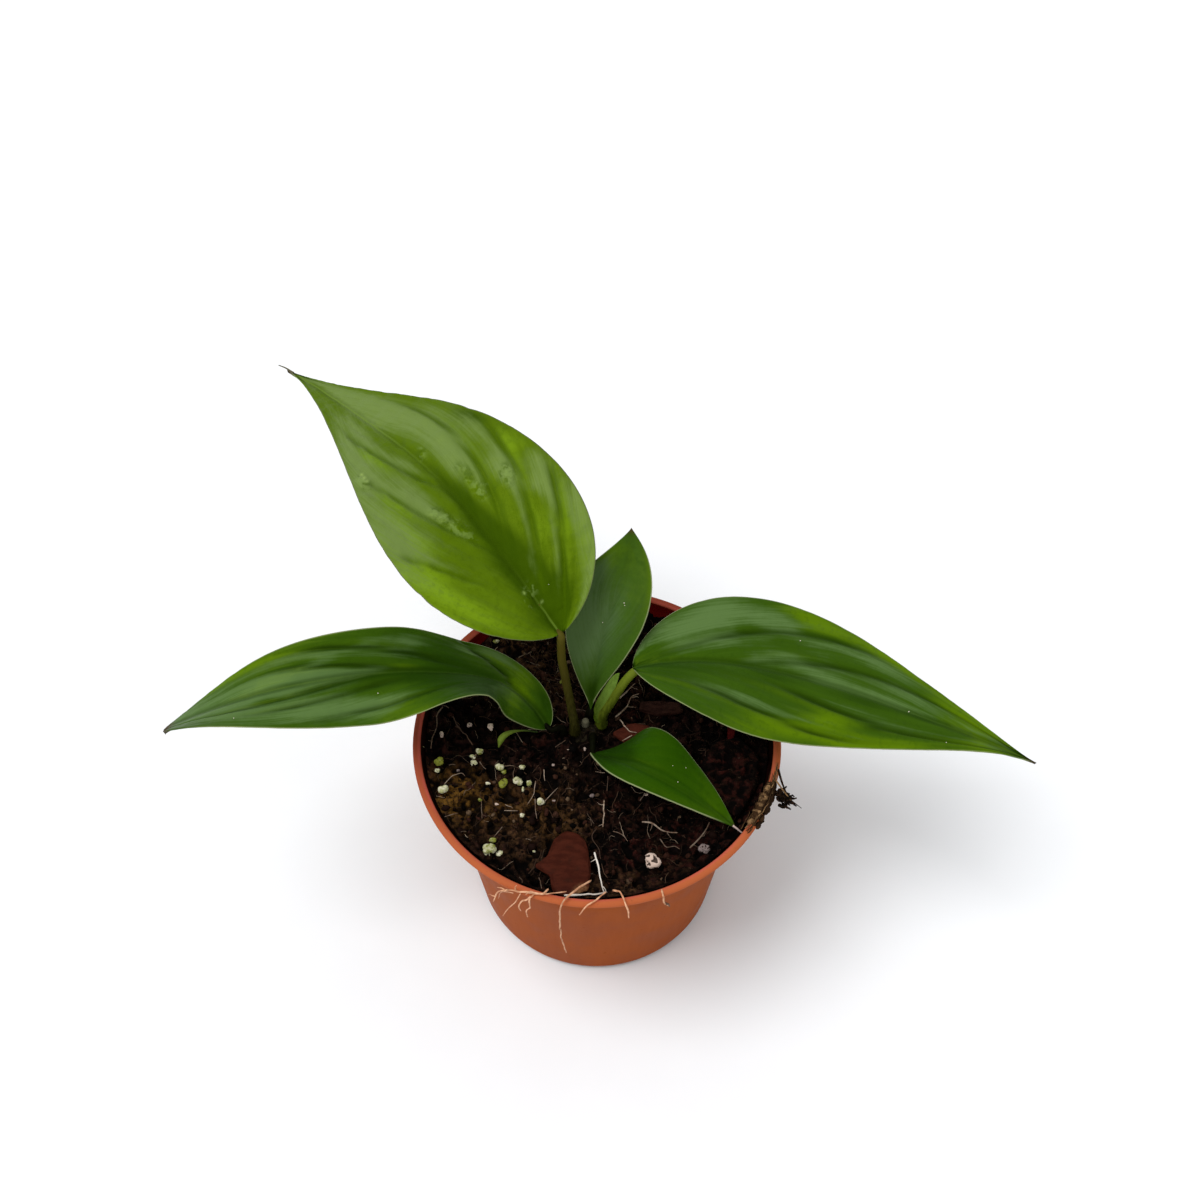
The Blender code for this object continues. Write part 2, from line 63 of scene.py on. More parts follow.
# The pot: its rim and height come from its solid, and the rest shape its turned wall and its drained floor.
POT_RIM_RADIUS = float(span("nursery_pot")[1][0])
POT_HEIGHT = float(span("nursery_pot")[1][2])
POT_BASE_RADIUS = 32.0
POT_BASE_FILLET = 3.0
POT_WAIST_RADIUS = 36.5
POT_WAIST_HEIGHT = 46.0
POT_NECK_RADIUS = 43.8
POT_NECK_HEIGHT = 64.8
POT_LIP_RADIUS = 0.8
POT_LIP_SPREAD = 1.25
POT_WALL = 1.0
POT_FLOOR = 1.2
POT_BRINK_RADIUS = 43.35
POT_WARP = 0.12
DRAIN_HOLES = 6
DRAIN_RADIUS = 3.5
DRAIN_CIRCLE = 21.0

SOIL_GAP = 0.3
SOIL_EDGE_HEIGHT = 64.0
SOIL_EDGE_SHARE = 0.1
SOIL_HEIGHT = 62.6
SOIL_MOUND = 1.1
SOIL_MOUND_RADIUS = 24.0
SOIL_LUMP = 0.55
SOIL_LUMP_LENGTH = 4.6
SOIL_RELIEF = 2.4
SOIL_SINK = 1.7
SOIL_BANK = 0.9
SOIL_RINGS = 132
SOIL_COLUMNS = 500
CRUMBS = 1300
CRUMB_SIZES = (0.5, 2.0)
HAIRS = 800
HAIR_STEPS = 9

CROWN_PLACE = (-2.5, 4)
CROWN_RADIUS = 5.0
CROWN_TOP = 64.8
FOOT_HEIGHT = CROWN_TOP + 0.4

# Where the light brown moss grows, and where the mix is redder or dusty: place, radius and strength.
MOSS_PATCHES = [(-33.5, -14.6, 6.4, 1.3), (-14, -15.4, 2.6, 0.5), (-21, -17, 5, 0.3), (-11, -21, 5, 0.3)]
RED_PATCHES = [
    (22, -29, 9, 0.9), (35, -12, 11, 1), (-12, 24, 9, 0.25), (13, -27, 7, 0.9), (8, -30, 5, 0.7),
    (-13, 0, 5, 0.6), (-38, -4, 7, 0.5), (12, 12, 10, 0.7), (4, -16, 5, 0.6), (-42, 2, 4, 0.6)]
DUST_PATCHES = [
    (-12, -19, 6, 0.8), (-22, -19, 6, 0.7), (-20, -27, 7, 0.5), (-14, -29.5, 5, 0.5), (-5, -18, 6, 0.8),
    (-8, -9, 4, 0.5), (-4, -23, 4, 0.7), (17, -32, 5, 0.5), (8, 14, 7, 0.6), (-14, 19, 10, 1.3),
    (-33, -20, 5, 0.7), (9, -20, 5, 0.3), (-1, -40.5, 4, 1.2), (8, -38.5, 5, 1), (-22.2, 27.3, 6, 1.3)]
# Where shade is painted black on the mix.
PAINTED_SHADE_PATCHES = [
    (-1, -3, 8, 1), (12, -9, 9, 0.8), (27, -12, 13, 0.8), (-8, -37, 9, 0.8), (18, -34, 7, 0.4),
    (-30, 4, 9, 0.6), (20, 12, 9, 0.6), (38, 6, 9, 0.8), (-20, -7, 4, 0.4), (3, -22, 5, 0.5)]
# Where the mix is sunk: place, radius and depth.
PITS = [
    (-12, -2.5, 4, 1.4), (-9, -35, 7, 1), (12, -18, 4, 1), (-27, -22, 3.5, 1), (-24, 1, 6, 0.9),
    (0, -5, 5, 1), (30, -24, 4, 1.6), (-15, -38, 5, 1.2), (22, -20, 4, 1), (-41, -12, 3.5, 1),
    (36, 8, 6, 1.2), (-2, -32, 4, 1.2)]

SKIN = 0.46
SPINE_STEPS = 240
FOLD_SOFTNESS = 0.5
CHANNEL_WIDTH = 0.85
RIB_HEIGHT = 0.75
RIB_WIDTH = 0.75
BLISTER_HEIGHT = 0.28
CREASE_DEPTH = 0.5
CREASE_WIDTH = 0.7
CREASE_SHADE = 2.0
CREASE_WAVER = 0.45
# Painted highlights on the ridges beside a crease, pale above and yellow-green below: distance from the
# crease, and reach.
CREASE_ABOVE = (1.7, 1.3)
CREASE_BELOW = (-1.6, 1.2)
# Rows of blisters: place along the blade and beside its midrib at both ends, and how many.
BLISTER_ROWS = [
    (0.28, -4, 0.4, -7, 16), (0.34, 5.5, 0.43, 6, 9), (0.32, 11, 0.37, 14.5, 7),
    (0.12, 1.2, 0.09, -2.2, 6), (0.49, -14.5, 0.56, -15.5, 5), (0.52, 2, 0.57, 1, 2)]


@dataclass(frozen=True)
class Blade:
    """A leaf blade: its spine's turns at stations from base to tip, the outline on each side of it, and its
    veins."""

    base: tuple
    length: float
    half_widths: tuple  # left and right of the direction of growth
    fullness: tuple  # powers of the outline towards the base and towards the tip
    pitch: tuple  # above level
    heading: tuple  # from +X towards +Y
    roll: tuple
    fold: tuple  # how far each half rises from the midrib
    stations: tuple = (0, 0.3, 0.65, 1)
    cup: float = 0.0  # how far the margins curl down, as a share of the half width
    vein_gap: float = 0.1  # distance between lateral veins along the midrib, as a share of the length
    vein_lean: float = 0.6  # how far a vein runs on from the midrib to the margin, as a share of the length
    quilt: float = 0.04  # how far the skin swells between two veins, as a share of their distance
    pucker: float = 0.05  # how far the skin is puckered up and down
    channel: float = 0.45  # depth of the groove over the midrib
    creases: tuple = ()  # deep veins: side, place at the midrib, lean, and where across they begin and end
    pale: tuple = ()  # where a grey sheen is painted, as a painted reflection: place along and across, reach along and across, strength
    fresh_and_lit: tuple = ()  # where it is yellow-green, and where light is painted on it
    dark: tuple = ()  # where it is deep green, and where shade is painted on it
    specks: tuple = ()  # pale spots painted as highlights: place along and across, and size
    rows: int = 220
    columns: int = 100


BLADES = {
    "back_left_blade": Blade(
        base=(-8.5, 11.5, 94), length=112, half_widths=(24.5, 24), fullness=(0.6, 1.55),
        pitch=(21, 10, -8, -7), heading=(128, 128, 134, 138), roll=(3, 7, 3, -3), fold=(18, 14, 11, 3),
        cup=-0.01, vein_lean=0.48, quilt=0.065, pucker=0.18,
        creases=((1, -0.1, 0.43, 0.3, 1), (1, 0.017, 0.51, 0.15, 1), (1, 0.142, 0.67, 0.2, 0.8),
            (-1, 0.208, 0.4, 0.04, 0.8), (-1, 0.064, 0.28, 0.45, 0.9), (-1, 0.4, 0.42, 0.1, 0.7)),
        pale=((0.4, -0.4, 0.09, 0.2, 0.8), (0.42, -0.9, 0.16, 0.25, 0.7), (0.62, -0.75, 0.14, 0.3, 0.9),
            (0.66, 0.4, 0.15, 0.35, 0.75), (0.5, 0.45, 0.06, 0.3, 0.8), (0.37, 0.55, 0.05, 0.2, 0.8),
            (0.79, 0.35, 0.12, 0.45, 0.9), (0.72, 0, 0.08, 0.12, 0.5), (0.32, -0.8, 0.08, 0.2, 0.5),
            (0.52, -0.3, 0.06, 0.18, 0.4), (0.06, 0.95, 0.12, 0.18, 0.7), (0.22, 0.92, 0.08, 0.2, 0.6),
            (0.33, 0.85, 0.035, 0.15, 0.35), (0.31, -0.12, 0.05, 0.15, -0.4), (0.7, -0.35, 0.07, 0.15, 0.6),
            (0.59, 0.62, 0.05, 0.2, 0.7), (0.44, 0.22, 0.05, 0.12, 0.6), (0.41, 0.9, 0.03, 0.15, -0.4),
            (0.29, 0.68, 0.03, 0.12, 0.6), (0.5, 0.05, 0.06, 0.15, -0.4)),
        fresh_and_lit=((0.22, -0.85, 0.12, 0.25, 0.7), (0.1, -0.75, 0.08, 0.4, 0.35), (0.12, 0.95, 0.1, 0.2, 0.5),
            (0.33, -0.8, 0.08, 0.2, 0.7), (0.4, 0.85, 0.04, 0.15, 0.4), (0.45, -0.75, 0.12, 0.3, 0.5),
            (0.6, -0.6, 0.06, 0.2, 0.5), (0.2, 0.55, 0.05, 0.15, 0.35)),
        dark=((0.05, 0.12, 0.12, 0.3, 1.3), (0.03, -0.3, 0.04, 0.4, 0.3), (0.21, 0.06, 0.12, 0.22, 1.1),
            (0.38, 0.04, 0.12, 0.12, 0.9), (0.06, 0.42, 0.05, 0.25, 0.7), (0.51, 0.88, 0.05, 0.12, 0.9),
            (0.93, -0.4, 0.07, 0.6, 0.5)),
        specks=((0.557, -0.81, 0.5), (0.545, -0.8, 0.5), (0.532, -0.79, 0.5), (0.115, -0.09, 0.4),
            (0.08, 0.05, 0.3)),
    ),
    "left_blade": Blade(
        base=(-12, 3, 65.4), length=102, half_widths=(13, 10.9), fullness=(0.6, 0.7),
        stations=(0, 0.12, 0.25, 0.5, 1), pitch=(50, 39, 24, 6, -28), heading=(131, 158, 188, 191, 192),
        roll=(16, -6, -14, 25, -36), fold=(21, 4, 17, 14, 8), cup=0.02,
        creases=((1, 0.43, 0.56, 0.03, 0.5), (1, 0.19, 0.54, 0.15, 0.85), (-1, 0.48, 0.79, 0.02, 0.5),
            (-1, 0.345, 0.61, 0.15, 0.66), (-1, -0.01, 0.7, 0.5, 0.9), (1, 0.13, 0.14, 0.1, 1)),
        pale=((0.2, 0.8, 0.05, 0.25, 0.8), (0.4, 0.65, 0.05, 0.2, 0.7), (0.29, -0.5, 0.07, 0.6, -0.45),
            (0.21, 0.1, 0.04, 0.35, -0.4), (0.5, -0.65, 0.08, 0.3, 0.9), (0.61, -0.6, 0.1, 0.3, 0.9),
            (0.6, 0.14, 0.05, 0.1, 1), (0.7, 0.2, 0.1, 0.22, 0.9), (0.49, 0.68, 0.04, 0.1, 0.7),
            (0.59, 0.45, 0.04, 0.1, 0.7), (0.8, -0.3, 0.12, 0.6, 0.8), (0.92, 0.2, 0.1, 0.7, 0.7),
            (0.57, 0.02, 0.06, 0.12, 1.4), (0.48, 0.12, 0.04, 0.13, 0.8), (0.24, -0.7, 0.05, 0.4, -0.9),
            (0.74, -0.22, 0.04, 0.12, -0.7)),
        fresh_and_lit=((0.125, 0.1, 0.035, 1.3, 0.65), (0.2, 0.7, 0.05, 0.2, 0.4), (0.41, -0.9, 0.07, 0.2, 0.5),
            (0.75, 0.85, 0.14, 0.2, 0.7), (0.4, 0.12, 0.04, 0.1, 0.3), (0.85, 0.95, 0.1, 0.1, 0.5)),
        dark=((0.3, 0, 0.08, 0.9, 1), (0.02, 0, 0.05, 0.9, 0.8), (0.05, 0.75, 0.035, 0.35, 0.9),
            (0.21, -0.1, 0.04, 0.25, 1), (0.24, -0.7, 0.045, 0.4, 0.9), (0.4, -0.12, 0.07, 0.2, 0.8),
            (0.41, 0.4, 0.04, 0.14, 0.8), (0.5, -0.1, 0.06, 0.1, 0.6), (0.62, -0.06, 0.08, 0.06, 0.5)),
    ),
    "back_blade": Blade(
        base=(-1.5, 6.5, 67.5), length=48, half_widths=(10.5, 9.5), fullness=(1.55, 1.15),
        pitch=(61, 56, 38, 45), heading=(90, 70, 64, 88), roll=(1, 1, -1, -1), fold=(19, 19, 9, 3), cup=-0.01,
        vein_gap=0.16, quilt=0.012, channel=0.08, rows=150, columns=64,
        pale=((0.45, -0.45, 0.25, 0.8, 1), (0.38, -0.85, 0.12, 0.35, 0.6), (0.65, 0.5, 0.28, 0.8, 0.15),
            (0.74, -0.72, 0.1, 0.3, 0.6)),
        fresh_and_lit=((0.85, 0, 0.12, 0.9, 0.35), (0.75, 0.95, 0.2, 0.15, 0.5), (0.72, -0.98, 0.12, 0.12, 0.4),
            (0.8, -0.75, 0.12, 0.4, 0.7), (0.5, -0.6, 0.15, 0.4, 0.3)),
        dark=((0.11, 0, 0.1, 1, 1), (0.55, 0.6, 0.25, 0.5, 0.25)),
    ),
    "right_blade": Blade(
        base=(8.5, 9, 84), length=102, half_widths=(19.5, 19), fullness=(0.7, 1.52), pitch=(9, -10, -9, -24),
        heading=(9, -6, -18, -12), roll=(4, -2, -2, -1), fold=(8, 2, -2, 15), cup=0.02, vein_lean=0.78,
        creases=((-1, 0.24, 0.8, 0, 0.62), (-1, -0.05, 0.7, 0.12, 0.9), (1, -0.197, 0.81, 0.45, 0.92),
            (1, 0.19, 0.85, 0.2, 0.68)),
        pale=((0.12, -0.4, 0.06, 0.25, 0.9), (0.2, -0.78, 0.08, 0.3, 1), (0.33, -0.68, 0.06, 0.16, 1.3),
            (0.3, -0.12, 0.05, 0.1, 0.6), (0.05, -0.8, 0.06, 0.25, 0.9), (0.6, -0.06, 0.16, 0.11, 0.9),
            (0.46, -0.35, 0.045, 0.13, 0.6), (0.78, 0.5, 0.1, 0.4, -0.3), (0.58, -0.65, 0.1, 0.2, 0.7),
            (0.68, -0.35, 0.1, 0.2, 0.6), (0.04, 0.98, 0.05, 0.1, 0.5), (0.19, -0.44, 0.05, 0.14, 1.5),
            (0.38, -0.22, 0.06, 0.1, 0.9), (0.46, -0.03, 0.06, 0.08, 0.6), (0.35, -0.45, 0.04, 0.09, -0.5),
            (0.2, 0.55, 0.1, 0.2, 0.4)),
        fresh_and_lit=((0.41, -0.9, 0.08, 0.14, 1), (0.6, -0.92, 0.1, 0.12, 1), (0.78, -0.8, 0.1, 0.3, 0.8),
            (0.78, -0.3, 0.08, 0.3, 0.6), (0.9, 0, 0.07, 1.2, 1.6), (0.45, 0.78, 0.12, 0.2, 0.9),
            (0.49, 0.55, 0.05, 0.12, 0.5), (0.65, 0.88, 0.09, 0.14, 1.1), (0.3, 0.85, 0.12, 0.2, 0.5),
            (0.55, 0.88, 0.05, 0.14, 0.6), (0.8, 0.75, 0.1, 0.3, 0.5)),
        dark=((0.08, 0.2, 0.12, 0.25, 0.7), (0.33, 0.1, 0.12, 0.14, 0.6), (0.56, 0.12, 0.1, 0.1, 0.8),
            (0.7, 0.08, 0.06, 0.07, 0.6), (0.6, 0.58, 0.035, 0.1, 0.6)),
    ),
    "front_blade": Blade(
        base=(-1, -4.5, 66.5), length=43, half_widths=(12, 5), fullness=(0.6, 1.1), pitch=(39, 18, -20, -30),
        heading=(-41, -35, -25, -25), roll=(40, 3, 5, 0), fold=(11, 7, 1, 4), cup=0.01, vein_gap=0.16,
        quilt=0.02, channel=0.18, rows=150, columns=64,
        creases=((-1, -0.06, 2.3, 0.03, 0.25),),
        pale=((0.72, -0.95, 0.12, 0.12, 0.4), (0.95, 0, 0.05, 1.5, 0.6)),
        fresh_and_lit=((0.95, 0, 0.3, 1.5, 0.6), (0.5, 0.8, 0.25, 0.3, 0.2)),
        dark=((0.05, 0, 0.18, 1.5, 1.2), (0.22, -0.2, 0.1, 0.2, 0.8), (0.45, -0.05, 0.2, 0.05, 0.3)),
    ),
    "right_stalk_sheath": Blade(
        base=(0, 4.5, FOOT_HEIGHT + 0.5), length=17.1, half_widths=(3.1, 1.6), fullness=(0.5, 0.75),
        stations=(0, 0.5, 1), pitch=(70, 66, 60), heading=(48, 40, 34), roll=(0, 0, 0), fold=(-10, -28, -25),
        quilt=0, pucker=0.02, channel=0, vein_gap=0.3, rows=60, columns=24,
    ),
}

# Where grit sits on the leaves: place along and across each blade.
LEAF_GRIT = {
    "front_blade": [(0.52, -0.42), (0.593, -0.6), (0.588, -0.14)],
    "right_blade": [(0.388, -0.51), (0.667, 0.02), (0.768, 0.69)],
    "left_blade": [(0.478, -0.41), (0.805, -0.71)],
    "back_blade": [(0.63, 0.29), (0.62, 0.33), (0.5, -0.1)],
    "back_left_blade": [(0.1, 0.25)],
}

# Each stalk: the radius at its foot and at its top, and its path from the crown to its blade's base.
STALKS = {
    "back_left": (1.08, 0.98, [(-5.4, 3, FOOT_HEIGHT + 0.3), (-6.3, 5.5, 72), (-7.6, 8.4, 80),
        (-8.5, 10.3, 88), (-8.5, 11.4, 93.3)]),
    "left": (0.65, 0.6, [(-8.2, 3.1, FOOT_HEIGHT), (-9.6, 2.8, 66), (-11, 2.6, 65.6)]),
    "back": (1.1, 0.9, [(-1.6, 7.3, FOOT_HEIGHT + 0.3), (-1.5, 7, 66.3), (-1.5, 6.7, 66.9)]),
    "right": (1.2, 1.05, [(1.1, 5.4, FOOT_HEIGHT), (4.2, 6.3, 74.6), (7, 7.7, 80.2), (8.9, 8.8, 82)]),
    "front": (0.7, 0.6, [(-1, 0.6, FOOT_HEIGHT + 0.8), (-1, -1.6, 67.2), (-1, -3.5, 66.6)]),
}
# How a stalk runs on in the rib under its blade: places along the blade, and depth in radii of its top.
RIB_STATIONS = (0.015, 0.05, 0.1, 0.16)
RIB_SINK = (1.25, 0.9, 0.6, 0.3)

# The blades that end in a thread: how far it runs on, and how pale and pink it is.
DRIP_TIPS = {"back_left_blade": (3.6, 1.0), "front_blade": (4.2, 2.0)}

OLD_STALK_STUB = (1, 0.9, [(-2.8, 4.3, FOOT_HEIGHT), (-2.8, 4.5, 67.8)])
SIDE_SHOOT_PATH = [(-14.6, 2.9, 1.4), (-18, 2.4, 2.8), (-21, 1.5, 3.3), (-23.2, 0, 2.8), (-24, -1.9, 1.5)]

# Flat pieces on the mix: corners of the outline, thickness, how rough the faces are, and how red they are.
FLAT_PIECES = {
    "bark_chip_front": ([(-7.2, -24.4), (-4.4, -25.2), (-2.7, -26.8), (-1.8, -30.4), (-1.3, -35.5),
        (-1.7, -39.6), (-4.9, -41), (-8.3, -41.2), (-10.2, -39.6), (-10.8, -36.2), (-14.5, -33.6),
        (-11.6, -31.2), (-10, -26.8)], 2, 0.15, 1),
    "bark_chip_crown": ([(3.6, 2.2), (7, -0.4), (12.4, 0.6), (13.2, 4.4), (9.6, 5.2), (7.4, 4.8)],
        1.6, 0.4, 1),
    "bark_strip_back": ([(10.2, 9), (15, 7.4), (21.4, 8.2), (21, 11), (15, 11.4), (10.8, 11.2)],
        2.2, 0.6, 0.3),
    "peat_block_right": ([(25, -8), (27.5, -17.5), (33.5, -21.5), (38.6, -13), (39.4, -5), (34.8, 0.4),
        (28.5, -1)], 3.4, 2.6, 0.3),
    "bark_splinter": ([(32.1, -0.6), (33.4, 0), (34.1, 2.6), (34.3, 8), (32.7, 8), (32.2, 2.6)], 1.6, 0.2, 2),
}
CHIP_SINK = 0.7
# The front chip's worn corner.
WORN_CORNER = (-3.2, -41)
WORN_REACH = (3.2, 2.6)

# How green with algae each seated grain is, and how deep its pores are, in the order of the solids.
GRAIN_LOOKS = ((0.4, 0.4), (1, 0.5), (0.5, 0.4), (0.45, 0.5), (0.3, 0.4), (0.6, 0.4), (-0.5, 2.2), (-1, 1))
# Smaller grains: place seen from above, size across, and how green with algae, or below 0 how pinkish.
SMALL_GRAINS = [
    (-38.6, -7.9, 1.7, 0.35), (-43, -1.6, 1.5, 0.5), (-30.2, -3.7, 1.5, 0.5), (-30, -5.4, 1.6, 0.4),
    (-28.6, -2.5, 2.2, 0.6), (-22.6, -7.9, 1.3, 0.9), (-18.1, -7, 1.5, 0.5), (-22.6, -10.9, 2.6, 1),
    (-17.7, -12.8, 1.2, 0.3), (-16.3, -11.4, 1.5, 0.6), (-26.3, -10.6, 1.1, 0), (-33.7, -7.3, 0.9, -1),
    (-17.8, -19.6, 1, 0), (-2.9, -1.9, 1.1, -0.7), (-10.6, -6.1, 0.7, -0.8), (-1.1, -14.4, 1.1, -1),
    (-23.9, -16.4, 1, -0.6), (-28, -15.3, 1, 0.9), (-31.6, 5.5, 1.5, -0.7), (-26.4, 4.3, 2.1, -0.4),
    (-38.4, 2.6, 1.6, -0.6), (-14.7, -29.1, 0.9, 0), (-22.9, -29.8, 1.5, 0.4), (-24.6, -26.6, 1.6, 0.9),
    (-25.9, -30.4, 1.3, 0.1), (-10.2, -16, 0.7, -0.8), (12, -14, 0.8, -0.4), (-9, 17.6, 1.4, 1),
    (-26, 30, 1.8, 0.6), (1.2, 23, 1.4, 0.2), (17.5, 22.5, 1.4, 0), (20.4, -7.2, 0.7, -0.5),
    (30.5, 22, 1.4, 0.1)]

# Roots on the mix: radius, then points as place seen from above and clear height over the mix.
SOIL_ROOTS = [
    (0.4, [(-0.5, -29.9, 0.8), (0.6, -34, 0.7), (1.3, -38.2, 0.5), (1.9, -40.6, 0.5)]),
    (0.35, [(10.8, -21.7, 0.4), (13, -21.9, 0.8), (16.6, -24.2, 0.8), (19.3, -24.1, 0.4)]),
    (0.35, [(22, -28.2, 0.4), (24, -26.2, 0.7), (25.9, -23.7, 0.7), (26.9, -21.6, 0.4)]),
    (0.35, [(1.8, -15.8, 0.4), (1.8, -19.4, 0.6), (1.5, -23.3, 0.4)]),
    (0.35, [(4.6, 7, 0.6), (6.2, 8.4, 0.8), (7.6, 10.3, 0.6), (8.8, 13.2, 0.5), (10.6, 14.2, 0.4)]),
    (0.35, [(5.6, 12.6, 0.4), (7.8, 15, 0.8), (9.6, 17.6, 0.4)]),
    (0.35, [(-38.4, 10.1, 0.4), (-39.7, 7.1, 0.6), (-39.6, 3.7, 0.7), (-40.4, 0.8, 0.6), (-40.6, -2.1, 0.4)]),
    (0.35, [(-35.8, 7.7, 0.4), (-34.6, 5.4, 0.7), (-33, 2.8, 0.7), (-30.4, -0.9, 0.4)]),
]
# The tone of each: white below 0, cream at 0 and brown at 1.
SOIL_ROOT_TONES = (-0.5, 0.4, 0.6, 0.1, 0.0, 0.3, 0.7, 0.9)
# Roots that hang over the rim: radius, then points in space.
RIM_ROOTS = [
    (0.4, [(-1.2, -38.4, 66.6), (-4.6, -41.4, 67.9), (-7.4, -44.2, 68.1), (-8.2, -45.8, 66), (-8.3, -46, 56),
        (-7.2, -44.6, 40)]),
    (0.4, [(3.8, -40.4, 65.6), (5.7, -42.2, 67.8), (6.5, -44.4, 67.9), (7.2, -45.8, 65.6),
        (7.5, -45.9, 62.6)]),
    (0.35, [(2.2, -41.2, 66.4), (0.6, -43.2, 67.7), (-1.6, -44.8, 67.7), (-3.9, -46, 64.4)]),
    (0.4, [(-11, -40.6, 66.6), (-12.4, -42.4, 67.8), (-17.4, -41.9, 68), (-22, -41, 66.6), (-24, -40.6, 60)]),
]
# The tone of each, up to dry gold at 2.
RIM_ROOT_TONES = (1.7, 2.0, 2.0, 1.9)
# Finer pale rootlets: thickness, tone, and points seen from above with the clear height over the mix.
FINE_ROOTS = [
    (0.3, 0.7, [(0.1, -23.3, 0.3), (-1.1, -25.4, 0.6), (0.4, -28.6, 0.5), (1.8, -34.8, 0.3),
        (2.7, -36, 0.2)]),
    (0.85, -0.6, [(-7.4, -41.5, 1.2), (-3, -41.4, 1.3), (-1.4, -41.2, 1.2), (1.8, -40.4, 1),
        (2.4, -39.9, 0.6)]),
    (0.5, -0.2, [(5.7, 6.5, 0.6), (7, 3.3, 1.9), (8.4, 1.9, 2.3), (9.9, 1.9, 2.2)]),
    (0.4, 0, [(8.7, 1, 2.2), (6.2, -0.4, 1.4)]),
    (0.32, 0.1, [(-14.7, -11.1, 0.8), (-15.1, -14.4, 1.1), (-16.7, -17.1, 0.5)]),
    (0.3, 0.2, [(-14.8, -15.7, 0.9), (-14.2, -20.6, 0.5)]),
    (0.34, 0.2, [(-12.8, -16.8, 0.6), (-9.3, -13.3, 1.1)]),
    (0.34, 0, [(-12.8, -8, 0.9), (-12.5, -11.1, 0.5)]),
    (0.32, 0.1, [(-22.1, -18.7, 0.8), (-18.8, -18.7, 0.8)]),
    (0.32, 0.3, [(-28.5, -5.3, 0.7), (-26.9, -7.2, 0.6)]),
    (0.32, 0, [(-7.3, -2.1, 0.8), (-5.3, -1.8, 0.8)]),
    (0.3, 0.1, [(-36.8, -12, 0.6), (-35.5, -10, 0.8), (-34.4, -8.9, 1), (-32.7, -8.4, 1),
        (-31.9, -9.2, 0.7)]),
    (0.3, 0.2, [(-21.9, -16.8, 0.7), (-20, -17.9, 0.6)]),
    (0.3, 0.4, [(-27.7, -15.8, 0.6), (-27.3, -20.9, 0.6)]),
    (0.32, 0.3, [(-36.1, -20.9, 0.5), (-33.1, -19.6, 0.9)]),
    (0.34, 0.6, [(2.7, -9.1, 0.6), (2.5, -13, 0.5)]),
    (0.34, 0.4, [(10.4, -15.7, 0.5), (11.6, -14.3, 0.8), (12.9, -13.5, 0.6)]),
    (0.28, 0.2, [(2, -8.3, 0.6), (-0.4, -8, 0.6)]),
    (0.3, 0.3, [(-17, 3.6, 0.9), (-12.1, 3.3, 1.3), (-10.1, 4.5, 1.6)]),
    (0.24, 0.2, [(-14.1, 5.3, 1.4), (-12.6, 3.6, 1)]),
    (0.3, 0.6, [(-10.2, -1.3, 0.9), (-7.6, 0.4, 1.2)]),
    (0.36, 0.3, [(3.9, -24.4, 0.6), (6, -25.4, 0.9), (7.4, -27, 0.6)]),
    (0.36, 0.4, [(15, -25.9, 0.6), (16.8, -28, 0.8), (18.3, -27.7, 0.8), (19.7, -28.5, 0.6)]),
    (0.32, 0.5, [(26.8, -6.6, 0.6), (29.3, -3.8, 1), (32.1, -1.5, 0.9)]),
    (0.32, 0.5, [(34.2, -6, 4), (37.6, -6.6, 3.8)]),
    (0.32, 0.4, [(31, -12.7, 4.2), (31.9, -14.6, 4)]),
    (0.26, 0.3, [(-22.3, -23.2, 0.5), (-24.4, -26, 0.4)]),
    (0.26, 0.5, [(-17.9, -36.2, 0.3), (-17.2, -38, 0.3)]),
    (0.3, 0.4, [(-13.4, -36, 0.4), (-12.6, -39.4, 0.4)]),
    (0.26, 0.6, [(26.5, -3, 0.4), (28.8, -11, 0.6), (30, -15, 0.6)]),
]
# Rootlets that hang over the rim: thickness, tone, and points in space.
HANGING_ROOTLETS = [
    (0.45, 1.9, [(-14, -42, 67.4), (-15.1, -43, 67.2), (-16, -42.9, 65.6), (-17.3, -42.5, 63.8),
        (-18, -42.2, 60.4), (-17.5, -42.4, 58.7)]),
    (0.4, 1.9, [(-15.1, -42.6, 67.2), (-15.4, -43.3, 65), (-15.2, -43.3, 62.8), (-16.2, -43, 60),
        (-16, -43, 56.7)]),
    (0.28, 1.9, [(-17.3, -42, 67.2), (-18.5, -42.1, 63.4), (-20.6, -41, 57), (-22.2, -40.1, 51)]),
    (0.26, 1.8, [(-19, -41.7, 66.7), (-21.4, -40.9, 66), (-22.9, -39.8, 59.8)]),
    (0.3, 1.7, [(-6.8, -41.6, 67.4), (-10.6, -42.4, 67.9), (-15, -42.2, 67.6), (-18.6, -41.4, 67.2)]),
    (0.5, 1.75, [(15, -40.6, 66.6), (15.2, -42.6, 67.4), (15.6, -43.2, 65.4), (16.6, -42.8, 62.6)]),
    (0.75, 1.2, [(15.9, -43.1, 64.4), (16.6, -42.8, 62.9), (16.9, -42.8, 62.2)]),
]
ROOT_SHRINK = 0.6

RIM_CLUMP_ANGLE = -24.0
RIM_CLUMP_SIZE = (3, 8, 2.2)
RIM_CLUMP_HALF = 7.6
RIM_CLUMP_BEADS = 210
RIM_CLUMP_HUNG = 46
RIM_CLUMP_FIBRES = 40
RIM_CLUMP_SPIKES = 46
# A black spike and a pale root across the clump: points in space, the radius at both ends, and the tone.
RIM_CLUMP_STRIPS = [
    ([(43.6, -9.6, 67.6), (44.4, -13.4, 67.4), (45.8, -16.8, 66.8), (48.6, -19.4, 66.4)], 0.34, 0.08, 0.12),
    ([(42.8, -13, 68.3), (44.6, -16, 68.2), (46.6, -18.8, 67.4)], 0.22, 0.12, 0.9),
]
# The tuft of black spikes: where it stands and which way it points.
TUFT_FOOT = (44, -16.6, POT_HEIGHT - 0.1)
TUFT_AIM = (0.9, -0.45, 0.05)

